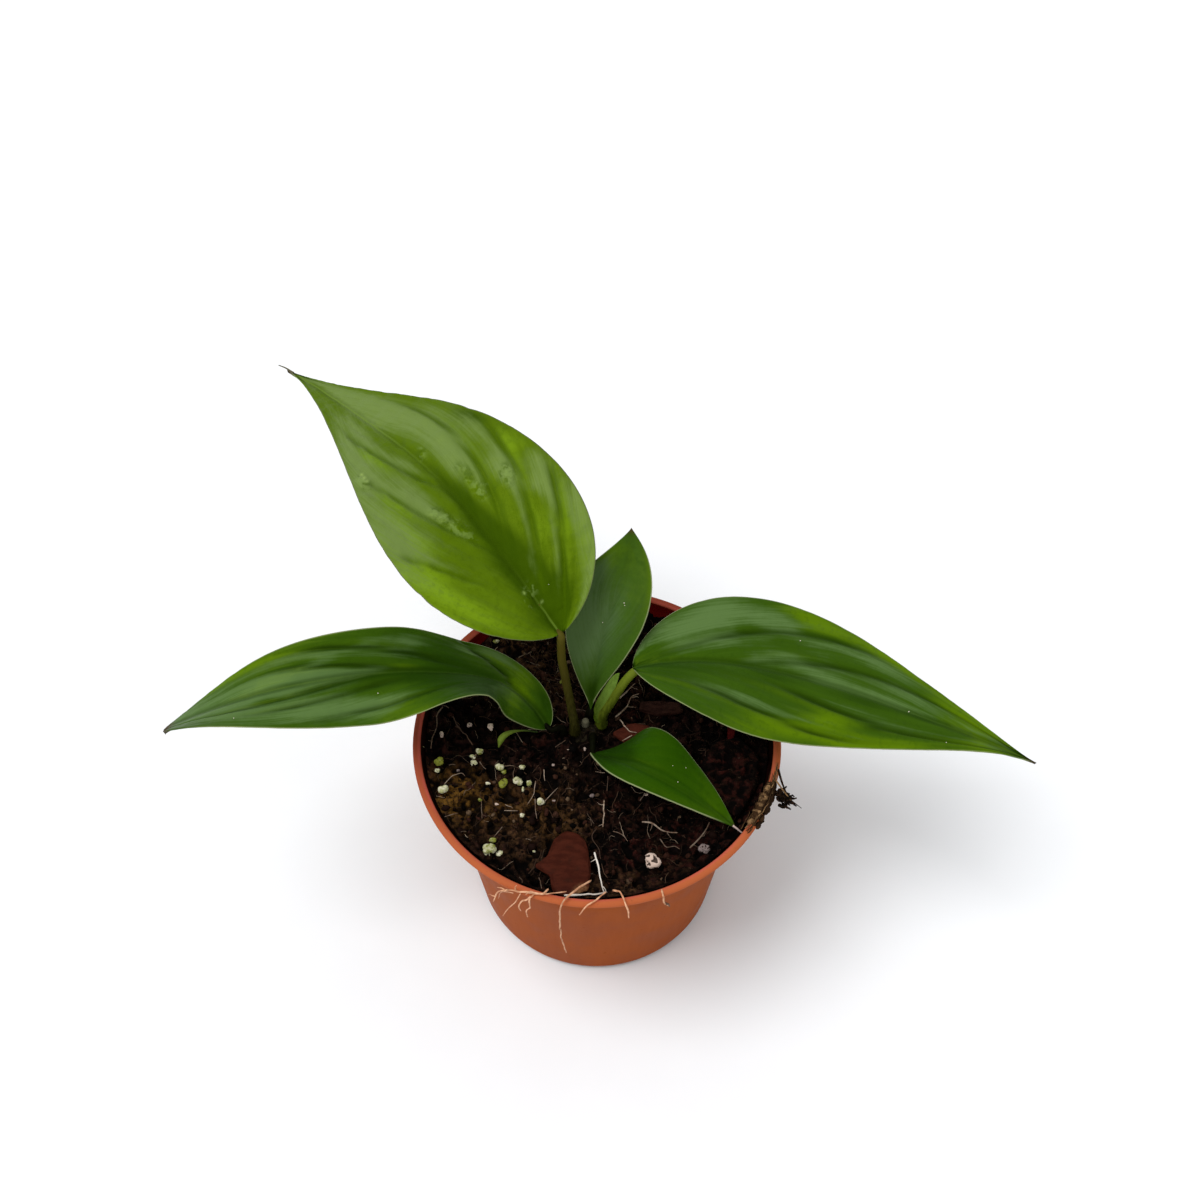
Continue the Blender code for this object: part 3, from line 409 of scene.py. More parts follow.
CAMERA_PLACE = (0.0, -202.2, 402.6)
CAMERA_DOWN = 54.07
CAMERA_YAW = 0.17
CAMERA_ROLL = 0.31
CAMERA_LENS = 48.0
KEY_BEARING = 195.0
KEY_HEIGHT = 66.0
KEY_WIDTH = 32.0
KEY_POWER = 1.8
SKY_STRENGTH = 0.685
FLOOR_HALF = 3000.0


# ---------------------------------------------------------------- curves, noise and grids


def unit(vectors):
    return vectors / np.maximum(np.linalg.norm(vectors, axis=-1, keepdims=True), 1e-9)


def eased(values, low, high):
    """0 below low, 1 above high, and the eased cubic between them."""
    share = np.clip((values - low) / (high - low), 0, 1)
    return share * share * (3 - 2 * share)


def bell(values, width):
    return np.exp(-((values / width) ** 2))


def smooth(stations, values, where):
    """Cubic Hermite curve through the stations. A station's slope is the harmonic mean of the slopes on its
    two sides, and zero at a peak or a dip, so the curve never overshoots."""
    places, heights = np.asarray(stations, float), np.asarray(values, float)
    steps = np.diff(places)
    chords = np.diff(heights) / steps
    slopes = np.zeros(len(places))
    slopes[0], slopes[-1] = chords[0], chords[-1]
    before, after = chords[:-1], chords[1:]
    climbing = before * after > 0
    slopes[1:-1][climbing] = 2 / (1 / before[climbing] + 1 / after[climbing])
    span_ = np.clip(np.searchsorted(places, where, side="right") - 1, 0, len(steps) - 1)
    part = (where - places[span_]) / steps[span_]
    ease = part * part * (3 - 2 * part)
    bow = slopes[span_] * part * (1 - part) ** 2 + slopes[span_ + 1] * part * part * (part - 1)
    return heights[span_] * (1 - ease) + heights[span_ + 1] * ease + steps[span_] * bow


def smooth_path(points, count):
    """Points along a smooth curve through the given ones, evenly spread over the chord lengths."""
    points = np.asarray(points, float)
    along = np.concatenate([[0], np.cumsum(np.linalg.norm(np.diff(points, axis=0), axis=1))])
    where = np.linspace(0, along[-1], count)
    return np.stack([smooth(along, points[:, k], where) for k in range(3)], axis=1)


def value_noise(points, seed):
    """Random heights from -1 to 1 on a lattice of whole numbers, blended between its corners by the eased
    cubic."""
    size = 32
    lattice = np.random.default_rng(seed).uniform(-1, 1, (size, size, size))
    cell = np.floor(points).astype(int)
    part = points - cell
    ease = part * part * (3 - 2 * part)
    total = np.zeros(points.shape[:-1])
    for corner in itertools.product((0, 1), repeat=3):
        weight = np.prod(np.where(corner, ease, 1 - ease), axis=-1)
        i, j, k = np.moveaxis((cell + corner) % size, -1, 0)
        total += weight * lattice[i, j, k]
    return total


def rough(points, size, seed, octaves=3):
    """A sum of noises, each with lumps half as wide and half as high as the one before."""
    return sum(value_noise(points * (2**k / size), seed + k) / 2**k for k in range(octaves))


@dataclass
class Shape:
    """Points in millimetres, four-cornered faces as point numbers, and named numbers kept at each point."""

    points: np.ndarray
    faces: np.ndarray
    marks: dict = field(default_factory=dict)


def grid_faces(rows, columns, closed=False):
    """Faces of a grid of points numbered row by row; closed joins the last column to the first."""
    i = np.arange(rows - 1)[:, None]
    j = np.arange(columns if closed else columns - 1)[None, :]
    beside = (j + 1) % columns
    corners = [i * columns + j, i * columns + beside, (i + 1) * columns + beside, (i + 1) * columns + j]
    return np.stack(np.broadcast_arrays(*corners), -1).reshape(-1, 4)


def joined(shapes):
    """Several shapes as one, with the marks that the first one has. A mark that another lacks is 0 on it."""
    starts = np.cumsum([0] + [len(shape.points) for shape in shapes[:-1]])
    faces = np.concatenate([shape.faces + start for shape, start in zip(shapes, starts)])
    marks = {name: np.concatenate([shape.marks.get(name, np.zeros(len(shape.points))) for shape in shapes])
             for name in shapes[0].marks}
    return Shape(np.concatenate([shape.points for shape in shapes]), faces, marks)


def copies(faces, count, points_each):
    """The faces of many equal grids, one after another."""
    return (faces[None] + np.arange(count)[:, None, None] * points_each).reshape(-1, 4)


def ball(rows, columns):
    """Directions from the middle of a ball, on a grid from pole to pole, and its faces."""
    down = np.linspace(0, np.pi, rows)[:, None]
    turn = np.linspace(0, 2 * np.pi, columns, endpoint=False)[None, :]
    directions = [np.sin(down) * np.cos(turn), np.sin(down) * np.sin(turn), np.cos(down) + 0 * turn]
    return np.stack(directions, -1).reshape(-1, 3), grid_faces(rows, columns, closed=True)


def tubes(paths, radii, sides, tone):
    """Round bars along many paths of equal count, closed at both ends. Each ring lies across its path, and is
    turned from the direction in which the whole path runs least. The mark `run` goes from 0 to 1 along each
    bar."""
    count, steps = paths.shape[:2]
    ahead = unit(np.gradient(paths, axis=1))
    least = np.linalg.svd(ahead)[2][:, -1:]
    across = unit(np.cross(ahead, np.broadcast_to(least, ahead.shape)))
    up = np.cross(across, ahead)
    turn = (2 * np.pi * np.arange(sides) / sides)[:, None]
    ring = across[:, :, None] * np.cos(turn) + up[:, :, None] * np.sin(turn)
    points = paths[:, :, None] + ring * radii[:, :, None, None]
    ends = [np.repeat(paths[:, k : k + 1, None], sides, axis=2) for k in (0, steps - 1)]
    points = np.concatenate([ends[0], points, ends[1]], axis=1)
    run = np.concatenate([[0], np.linspace(0, 1, steps), [1]])
    run = np.broadcast_to(run[None, :, None], points.shape[:3])
    tone = np.broadcast_to(tone[:, None, None], points.shape[:3])
    faces = copies(grid_faces(steps + 2, sides, closed=True), count, (steps + 2) * sides)
    return Shape(points.reshape(-1, 3), faces, {"run": run.ravel(), "tone": tone.ravel()})


def bar(path, radii, sides, tone=0.0):
    return tubes(path[None], np.asarray(radii)[None], sides, np.array([tone]))


def around(reach, bearing):
    """x and y at a distance from the pot's axis and a bearing round it."""
    return reach * np.cos(bearing), reach * np.sin(bearing)


def turned(profile, angles):
    """A profile of radius and height, turned through the given angles of a full turn."""
    radius, height = np.asarray(profile, float).T
    x, y = around(radius[:, None], angles)
    points = np.stack([x, y, np.broadcast_to(height[:, None], x.shape)], -1)
    return Shape(points.reshape(-1, 3), grid_faces(len(radius), len(angles), closed=True))


def arc(centre, radius, start, end, count):
    angles = np.radians(np.linspace(start, end, count))
    return [(centre[0] + radius * math.cos(a), centre[1] + radius * math.sin(a)) for a in angles]


def placed(name, data):
    made = bpy.data.objects.new(name, data)
    bpy.context.scene.collection.objects.link(made)
    return made


def add_piece(name, shape, finish, slot, *nodes):
    """Makes a shape an object: its doubled points are merged and its faces turned outwards and shaded smooth.
    It rides on the part's one body, and the solids named are hidden."""
    data = bpy.data.meshes.new(name)
    data.vertices.add(len(shape.points))
    data.vertices.foreach_set("co", (shape.points * MM).astype(np.float32).ravel())
    data.loops.add(shape.faces.size)
    data.loops.foreach_set("vertex_index", shape.faces.astype(np.int32).ravel())
    data.polygons.add(len(shape.faces))
    data.polygons.foreach_set("loop_start", np.arange(0, shape.faces.size, 4, dtype=np.int32))
    data.update(calc_edges=True)
    for mark, values in shape.marks.items():
        layer = data.attributes.new(mark, "FLOAT", "POINT")
        layer.data.foreach_set("value", values.astype(np.float32))
    work = bmesh.new()
    work.from_mesh(data)
    bmesh.ops.remove_doubles(work, verts=work.verts, dist=MERGE)
    bmesh.ops.recalc_face_normals(work, faces=work.faces)
    work.to_mesh(data)
    work.free()
    data.shade_smooth()
    data.materials.append(finish)
    piece = placed(name, data)
    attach(piece, "root")
    if nodes:
        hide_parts(*nodes)


# ---------------------------------------------------------------- finishes


class Level:
    """A number that varies over a surface. An expression on levels adds its Math nodes."""

    def __init__(self, finish, socket):
        self.finish, self.socket = finish, socket

    def math(self, operation, first, second=0.0):
        return self.finish.add("Math", {"operation": operation}, {0: first, 1: second})

    def __add__(self, other):
        return self.math("ADD", self, other)

    def __sub__(self, other):
        return self.math("SUBTRACT", self, other)

    def __rsub__(self, other):
        return self.math("SUBTRACT", other, self)

    def __mul__(self, other):
        return self.math("MULTIPLY", self, other)

    def __truediv__(self, other):
        return self.math("DIVIDE", self, other)

    __radd__ = __add__

    def eased(self, low, high):
        """0 below low, 1 above high, and smooth between them."""
        settings = {"interpolation_type": "SMOOTHSTEP"}
        return self.finish.add("MapRange", settings, {"Value": self, "From Min": low, "From Max": high})

    def dip(self, low, high):
        return 1 - self.eased(low, high)


class Finish:
    """A material of one Principled BSDF, with the strength and the tint of its gloss. Its colour is laid on
    in coats."""

    def __init__(self, name, gloss, tint=(1.0, 1.0, 1.0)):
        self.material = bpy.data.materials.new(name)
        self.material.use_nodes = True
        self.tree = self.material.node_tree
        self.inputs = self.tree.nodes["Principled BSDF"].inputs
        self.place = self.add("TexCoord", {}, {}, "Object")
        self.feed(self.inputs["Specular IOR Level"], gloss)
        self.feed(self.inputs["Specular Tint"], tint)

    def feed(self, socket, value):
        if isinstance(value, Level):
            self.tree.links.new(value.socket, socket)
        else:
            socket.default_value = (*value, 1.0) if socket.type == "RGBA" else value

    def add(self, kind, settings, inputs, output=0):
        """Adds a node, makes its settings, then fills or links its sockets. It gives the output named."""
        node = self.tree.nodes.new("ShaderNode" + kind)
        for setting, value in settings.items():
            setattr(node, setting, value)
        for socket, value in inputs.items():
            self.feed(node.inputs[socket], value)
        return Level(self, node.outputs[output])

    def mark(self, name):
        return self.add("Attribute", {"attribute_name": name}, {}, "Fac")

    def grain(self, size, detail=3.0, where=None):
        """Noise with lumps of about this many millimetres."""
        inputs = {"Vector": where or self.place, "Scale": 1 / (size * MM), "Detail": detail, "Roughness": 0.6}
        return self.add("TexNoise", {}, inputs, "Fac")

    def drawn_out(self, x, y, z):
        """Object coordinates squeezed along each axis, so that a pattern on them is drawn out along it."""
        return self.add("Mapping", {"vector_type": "POINT"}, {"Vector": self.place, "Scale": (x, y, z)})

    def streaks(self, flow, reach):
        """Noise on two lengths kept as marks, drawn out along the second."""
        where = self.add("CombineXYZ", {}, {"X": flow, "Y": reach})
        return self.add("TexNoise", {}, {"Vector": where, "Scale": 1.0, "Detail": 3.0}, "Fac")

    def mix(self, share, first, second):
        return self.add("Mix", {"data_type": "RGBA"}, {0: share, 6: first, 7: second}, 2)

    def coat(self, share, second):
        """Lays a share of a second colour over the colour so far."""
        self.colour = self.mix(share, self.colour, second)

    def paint(self, roughness, relief=None, depth=0.0, strength=0.0):
        """Feeds the colour, the roughness and a relief of up to this many millimetres."""
        self.feed(self.inputs["Base Color"], self.colour)
        self.feed(self.inputs["Roughness"], roughness)
        if relief is not None:
            inputs = {"Height": relief, "Distance": depth * MM, "Strength": strength}
            self.feed(self.inputs["Normal"], self.add("Bump", {}, inputs, "Normal"))
        return self.material


def leaf_finish(name, skin, deep, fresh_and_lit, sheen, margin, furrow_shade, streak, rib_shade, rib_light, pucker):
    """Leaf skin: green in soft streaks that follow the lateral veins, deeper and yellower where the blade's
    marks say, partly as painted shade and painted light. It has a painted grey sheen, painted shade over the
    darker green along the creases and the midrib, painted highlights on the blisters and on a few spots, a
    pale margin, a brown tip, and a paler underside."""
    finish = Finish(name, 0.13, (0.75, 1.0, 0.05))
    flow, reach = finish.mark("flow"), finish.mark("reach")
    wide = finish.streaks(flow / 3.4, reach / 26.0)
    narrow = finish.streaks(flow / 0.9, reach / 7.0)
    uneven = wide.eased(0.36, 0.64) - 0.5
    streaks = narrow.eased(0.3, 0.7) * (0.12 * streak) + wide.eased(0.35, 0.65) * (0.24 * streak)
    finish.colour = finish.mix(streaks, skin, deep)
    # The yellow-green and deep green patches are partly the leaf's own tone, partly painted light and painted
    # shade.
    finish.coat((finish.mark("fresh_and_lit") + uneven * 0.3).eased(0.05, 1.0), fresh_and_lit)
    finish.coat((finish.mark("dark") + uneven * 0.25).eased(0.05, 1.0), deep)
    mottle = finish.grain(1.5, 5.0)
    finish.coat(mottle.eased(0.5, 0.66) * 0.2, deep)
    fine = finish.streaks(flow / 0.45, reach / 12.0).eased(0.38, 0.62) - 0.5
    # The grey sheen is a painted reflection, laid where the pale mark says and broken by streaks.
    pale = finish.mark("pale") * (1 + fine * 0.3) + uneven * (0.4 * streak) + (narrow - 0.5) * (0.4 * streak)
    pale = pale + (mottle - 0.5) * 0.35
    finish.coat(pale.eased(0.1, 1.05), sheen)
    # Painted shade along the creases, over their darker green.
    finish.coat(finish.mark("crease") * 0.9, furrow_shade)
    # Painted highlights and painted shade speckle the blisters, finer than the mesh can show.
    blister_zone, blister_noise = finish.mark("blister_zone"), finish.grain(2.3, 2.0)
    finish.coat(blister_zone * blister_noise.eased(0.5, 0.6) * 0.5, tuple(1.3 * part for part in sheen))
    finish.coat(blister_zone * (1.0 - blister_noise).eased(0.52, 0.6) * 0.6, furrow_shade)
    # Painted highlights on the pale spots.
    finish.coat(finish.mark("glint") * 0.6, (0.36, 0.5, 0.13))
    rib = finish.mark("rib")
    # Painted shade over the darker green along the midrib's groove.
    finish.coat(rib.dip(0.3, 1.4) * rib_shade, tuple(0.8 * part for part in deep))
    # A pale line down the midrib, with a painted highlight on it.
    finish.coat(rib.dip(0.1, 0.32) * rib_light, finish.mix(0.5, fresh_and_lit, sheen))
    under = finish.mark("under").eased(0.4, 0.6)
    pale_rib = finish.mix(rib.dip(0.3, 1.0), finish.mix(0.4, skin, (0.16, 0.21, 0.08)), (0.22, 0.3, 0.09))
    finish.coat(under, pale_rib)
    run = finish.mark("run")
    finish.coat(finish.mark("inset").dip(0.08, 0.34) * run.dip(0.8, 0.95) * 0.7, margin)
    finish.coat(run.eased(0.955, 0.995), (0.05, 0.03, 0.014))
    thread = finish.mark("thread")
    finish.coat(thread.eased(0.3, 0.8), (0.1, 0.085, 0.05))
    finish.coat(thread.eased(1.2, 1.9), (0.52, 0.4, 0.36))
    roughness = 0.34 + wide.eased(0.3, 0.7) * 0.12 + finish.mark("dark").eased(0.3, 1.0) * 0.3 + under * 0.2
    relief = narrow * 0.5 + mottle + finish.grain(0.5) * 0.25 + blister_zone * blister_noise * 3.0
    return finish.paint(roughness, relief, pucker, 0.7)


def stalk_finish(name, low, high, tip, gloss=0.1):
    """Stalk skin: darker at the foot, with fine streaks along it."""
    finish = Finish(name, gloss)
    streak = finish.grain(0.7, where=finish.drawn_out(1.0, 1.0, 0.12)).eased(0.35, 0.65)
    run = finish.mark("run")
    finish.colour = finish.mix(run.eased(0.0, 0.75), low, high)
    finish.coat(streak * 0.35, tip)
    finish.coat(finish.grain(3.0).eased(0.5, 0.7) * 0.3, low)
    return finish.paint(0.42 + streak * 0.12, streak, 0.06, 0.5)


def pot_finish():
    """Thin moulded plastic: flow streaks down the wall, faint blotches and scuffs, and a lip painted paler as
    a highlight, with a painted shadow on the left, darker red at the back, and a painted pinkish highlight
    along its inner brink.
    Inside it is painted black as shade, with a painted red glow at the back."""
    finish = Finish("terracotta_plastic", 0.02)
    streak = finish.grain(1.6, where=finish.drawn_out(1.0, 1.0, 0.08)).eased(0.32, 0.68)
    blotch = finish.grain(14.0).eased(0.35, 0.65)
    finish.colour = finish.mix(blotch * 0.7 + streak * 0.3, (0.262, 0.056, 0.0105), (0.325, 0.076, 0.0165))
    # The lip is painted paler, a painted highlight.
    lip = finish.mark("lip").eased(0.2, 0.9)
    finish.coat(lip * 0.8, (0.47, 0.12, 0.044))
    # Painted shadow of a leaf on the lip at the left, and darker red at the back.
    finish.coat(lip * finish.mark("rosy") * 0.75, (0.2, 0.03, 0.022))
    # A painted pinkish highlight along the inner brink.
    finish.coat(lip * finish.mark("brink") * (0.25 + blotch * 0.5), (0.52, 0.095, 0.072))
    # Inside, the pot is painted black as shade, with a painted red glow at the back.
    inside = finish.mark("inside").eased(0.4, 0.6)
    inner_shade_and_glow = finish.mix(finish.mark("back"), (0.0085, 0.0022, 0.0016), (0.08, 0.0016, 0.0012))
    finish.coat(inside * (1 - lip), inner_shade_and_glow)
    scuff = finish.grain(0.9, 5.0).eased(0.62, 0.72)
    finish.coat(scuff * 0.3, (0.1, 0.03, 0.012))
    return finish.paint(0.42 + blotch * 0.14 + scuff * 0.2, streak * 0.4 + blotch * 0.6, 0.06, 0.25)


def mix_finish():
    """Damp peat: painted black as shade in the hollows between its lumps and in patches, brown on the lumps,
    dusty, redder or mossy in places, with specks of fibre."""
    finish = Finish("potting_mix", 0.03)
    height = finish.mark("height")
    clod = finish.grain(2.6, 6.0).eased(0.42, 0.66)
    finish.colour = finish.mix(clod, (0.0012, 0.0007, 0.0007), (0.024, 0.0092, 0.0062))
    dusty = finish.mark("dust") * finish.grain(1.7, 6.0).eased(0.4, 0.66)
    finish.coat(dusty, (0.082, 0.04, 0.017))
    finish.coat(finish.mark("red") * clod * 0.9, (0.034, 0.0056, 0.004))
    moss = finish.mark("moss") * finish.grain(1.3, 5.0).eased(0.32, 0.58)
    finish.coat(moss * 0.95, (0.15, 0.072, 0.012))
    speck = finish.grain(0.5, 2.0).eased(0.62, 0.7) * height.eased(0.2, 0.7)
    finish.coat(speck * 0.6, (0.12, 0.07, 0.04))
    # Painted shade in the hollows between the lumps.
    finish.coat(height.dip(0.16, 0.56) * 0.92, (0.0009, 0.0006, 0.0005))
    finish.coat(finish.grain(1.0, 4.0).eased(0.52, 0.62) * 0.6, (0.0012, 0.0008, 0.0006))
    # Painted shade: the mix goes black in the patches where shade falls.
    painted_shade = finish.mark("painted_shade") * finish.grain(2.0, 4.0).eased(0.3, 0.5)
    finish.coat(painted_shade * 0.7, (0.003, 0.0016, 0.0012))
    gleam = finish.grain(2.6).eased(0.45, 0.7)
    return finish.paint(0.85 - gleam * 0.4, finish.grain(0.7, 6.0), 0.45, 0.9)


def toned_finish(name, gloss, darkest, ramp, flecks, roughness, depth=0.0, strength=0.0):
    """A skin that its tone takes up a ramp of colours, each laid on between two tones. Noise adds flecks: its
    size, its detail, its range, their share and their colour. A depth gives it a fine relief."""
    finish = Finish(name, gloss)
    tone = finish.mark("tone")
    finish.colour = darkest
    for low, high, colour in ramp:
        finish.coat(tone.eased(low, high), colour)
    size, detail, low, high, share, colour = flecks
    finish.coat(finish.grain(size, detail).eased(low, high) * share, colour)
    return finish.paint(roughness, finish.grain(0.35, 3.0) if depth else None, depth, strength)


def root_finish():
    """Living root: cream skin in patches. Its tone goes from white below 0 to brown at 1 and dry gold at 2."""
    finish = Finish("root_skin", 0.1)
    patch = finish.grain(1.5, 4.0).eased(0.42, 0.62)
    tone = finish.mark("tone")
    finish.colour = finish.mix(patch, (0.42, 0.33, 0.25), (0.2, 0.125, 0.08))
    finish.coat((0.0 - tone).eased(0.0, 0.5), (0.74, 0.68, 0.6))
    finish.coat(tone.eased(0.0, 1.0), (0.06, 0.034, 0.022))
    finish.coat(finish.mark("run").eased(0.6, 1.0) * 0.5, (0.14, 0.075, 0.042))
    finish.coat(tone.eased(1.0, 2.0), finish.mix(patch, (0.78, 0.44, 0.26), (0.52, 0.24, 0.125)))
    return finish.paint(0.6, patch, 0.08, 0.5)


def bark_finish():
    """Damp bark and peat: the tone goes from black peat through red bark to a scarlet splinter, with layers,
    pits and a worn tan edge where the mark says."""
    finish = Finish("bark", 0.02)
    tone = finish.mark("tone")
    layer = finish.grain(1.3, 4.0, where=finish.drawn_out(0.35, 1.0, 3.0)).eased(0.35, 0.65)
    dark = finish.mix(layer, (0.0045, 0.0028, 0.0022), (0.022, 0.0115, 0.0085))
    red = finish.mix(layer, (0.036, 0.0075, 0.004), (0.056, 0.0125, 0.0066))
    scarlet = finish.mix(layer, (0.055, 0.0036, 0.004), (0.085, 0.007, 0.007))
    finish.colour = finish.mix(tone.eased(0.0, 1.0), dark, red)
    finish.coat(tone.eased(1.0, 2.0), scarlet)
    finish.coat(finish.grain(2.4, 5.0).eased(0.54, 0.7) * 0.35, (0.016, 0.008, 0.005))
    finish.coat(finish.mark("worn") * finish.grain(1.2, 4.0).eased(0.3, 0.6), (0.17, 0.082, 0.036))
    return finish.paint(0.55 + layer * 0.2, layer * 0.6 + finish.grain(0.5) * 0.4, 0.12, 0.5)


def perlite_finish():
    """Porous perlite: cream with dark pores. It is tinted green where algae grow, and its tone takes it to a
    pinkish cream at -0.5 and to greyish pink at -1."""
    finish = Finish("perlite", 0.1)
    algae = finish.mark("tone")
    film = (finish.grain(1.0, 3.0) * 1.5 + algae - 0.85).eased(0.1, 0.8)
    cloudy = finish.grain(0.8, 3.0).eased(0.4, 0.65)
    finish.colour = finish.mix(cloudy, (0.7, 0.66, 0.5), (0.46, 0.46, 0.24))
    finish.coat(film * algae.eased(0.0, 0.4), (0.19, 0.205, 0.026))
    finish.coat((0.0 - algae).eased(0.0, 0.5), (0.6, 0.46, 0.38))
    finish.coat((0.0 - algae).eased(0.5, 1.0), (0.2, 0.155, 0.145))
    pore = finish.mark("pore").eased(0.3, 0.7)
    finish.coat(pore * 0.92, (0.024, 0.012, 0.007))
    return finish.paint(0.85, finish.grain(0.4, 4.0), 0.12, 0.8)


def crown_finish():
    """The brown fibrous base of the plant."""
    finish = Finish("crown_skin", 0.05)
    fibre = finish.grain(0.6, 4.0, where=finish.drawn_out(1.0, 1.0, 0.15)).eased(0.35, 0.65)
    finish.colour = finish.mix(fibre, (0.004, 0.003, 0.002), (0.018, 0.013, 0.006))
    finish.coat(finish.mark("tone"), (0.105, 0.098, 0.062))
    return finish.paint(0.65, fibre, 0.15, 0.7)


def floor_finish():
    finish = Finish("pale_floor", 0.2)
    cloudy = finish.grain(40.0).eased(0.3, 0.7)
    finish.colour = finish.mix(cloudy, (0.88, 0.897, 0.92), (0.895, 0.912, 0.935))
    return finish.paint(0.8)


# ---------------------------------------------------------------- leaves


def half_width(blade, along, across):
    """Half the blade's width at each point: along^a (1 - along)^b, scaled to 1 at its widest."""
    toward_base, toward_tip = blade.fullness
    widest = toward_base / (toward_base + toward_tip)
    outline = (along / widest) ** toward_base * ((1 - along) / (1 - widest)) ** toward_tip
    left, right = blade.half_widths
    return np.where(across > 0, right, left) * outline


def blade_points(blade, along, across, lift):
    """Points of a blade for along in 0..1 and across in -1..1, lifted off its middle surface. The spine is
    the sum of small steps turned by pitch and heading. Each half rises by the fold, softened at
    the midrib, and cup bends it by the square of across."""
    fine = np.linspace(0, 1, SPINE_STEPS + 1)
    pitch, heading, roll, fold = (np.radians(smooth(blade.stations, turns, fine))
                                  for turns in (blade.pitch, blade.heading, blade.roll, blade.fold))
    ahead = np.stack([np.cos(pitch) * np.cos(heading), np.cos(pitch) * np.sin(heading), np.sin(pitch)], 1)
    steps = (ahead[1:] + ahead[:-1]) / 2 * blade.length / SPINE_STEPS
    spine = np.concatenate([[np.zeros(3)], np.cumsum(steps, axis=0)]) + np.array(blade.base)
    right = np.stack([np.sin(heading), -np.cos(heading), 0 * heading], 1)
    up = np.cross(right, ahead)
    tilt = roll[:, None]
    right, up = right * np.cos(tilt) + up * np.sin(tilt), up * np.cos(tilt) - right * np.sin(tilt)

    def at(values):
        if values.ndim == 1:
            return np.interp(along, fine, values)
        return np.stack([np.interp(along, fine, values[:, k]) for k in range(3)], axis=-1)

    half = half_width(blade, along, across)
    beside = half * across
    arm = np.hypot(beside, FOLD_SOFTNESS)
    lean = np.sin(at(fold))
    sideways = beside * np.cos(at(fold)) - lift * lean * beside / arm
    rise = (arm - FOLD_SOFTNESS) * lean - blade.cup * half * across**2 + lift * np.cos(at(fold))
    return at(spine) + at(right) * sideways[..., None] + at(up) * rise[..., None]


def blister_bumps(along, beside, length):
    """Small blisters on the skin, strewn in rows along and beside the midrib: a sum of round
    bumps, and how near each point of the skin is to one."""
    draw = np.random.default_rng(7)
    total, about = np.zeros((2, *along.shape))
    for start, near, end, far, count in BLISTER_ROWS:
        share = draw.uniform(0, 1, count)
        spots = np.stack([start + (end - start) * share, near + (far - near) * share], 1)
        spots += draw.normal(0, 1, (count, 2)) * (0.006, 0.6)
        for (where, side), size in zip(spots, draw.uniform(0.4, 0.8, count)):
            apart = ((along - where) * length) ** 2 + (beside - side) ** 2
            total += 0.7 * size * np.exp(-apart / size**2)
            about += 0.8 * np.exp(-apart / 1.2**2)
    return total, np.minimum(1, about)


def patches(spots, along, across):
    """How strongly each point of a blade lies in one of the soft patches."""
    total = np.zeros(along.shape)
    for place, side, long, wide, strength in spots:
        total += strength * np.exp(-(((along - place) / long) ** 2) - ((across - side) / wide) ** 2)
    return np.minimum(total, 1)


def crease_marks(blade, along, across, half):
    """A crease is a groove along one lateral vein, and it wavers a little. The results say how deep each point
    lies in a groove and in the shade painted along it, and how high on the ridges above and below it, where
    highlights are painted."""
    out = np.abs(across)
    groove, shade, above, below = np.zeros((4, *along.shape))
    for side, place, lean, first, last in blade.creases:
        off = (along - place - lean * out) * blade.length * half / np.hypot(half, lean * blade.length)
        course = np.stack([out * 9 + 5 * place, 0 * out, 0 * out + side], -1)
        off = off + CREASE_WAVER * rough(course, 1.4, 27, 3)
        reach = eased(out, first - 0.12, first + 0.08) * (1 - eased(out, last - 0.12, last + 0.05))
        reach *= (across * side > 0) * (0.8 + 0.35 * rough(course, 0.9, 37, 2))
        groove += reach * bell(off, CREASE_WIDTH)
        above += reach * bell(off - CREASE_ABOVE[0], CREASE_ABOVE[1])
        below += reach * bell(off - CREASE_BELOW[0], CREASE_BELOW[1])
        shade += reach * (0.7 * bell(off, CREASE_WIDTH) + 0.28 * bell(off, CREASE_SHADE))
    return groove, shade, above, below


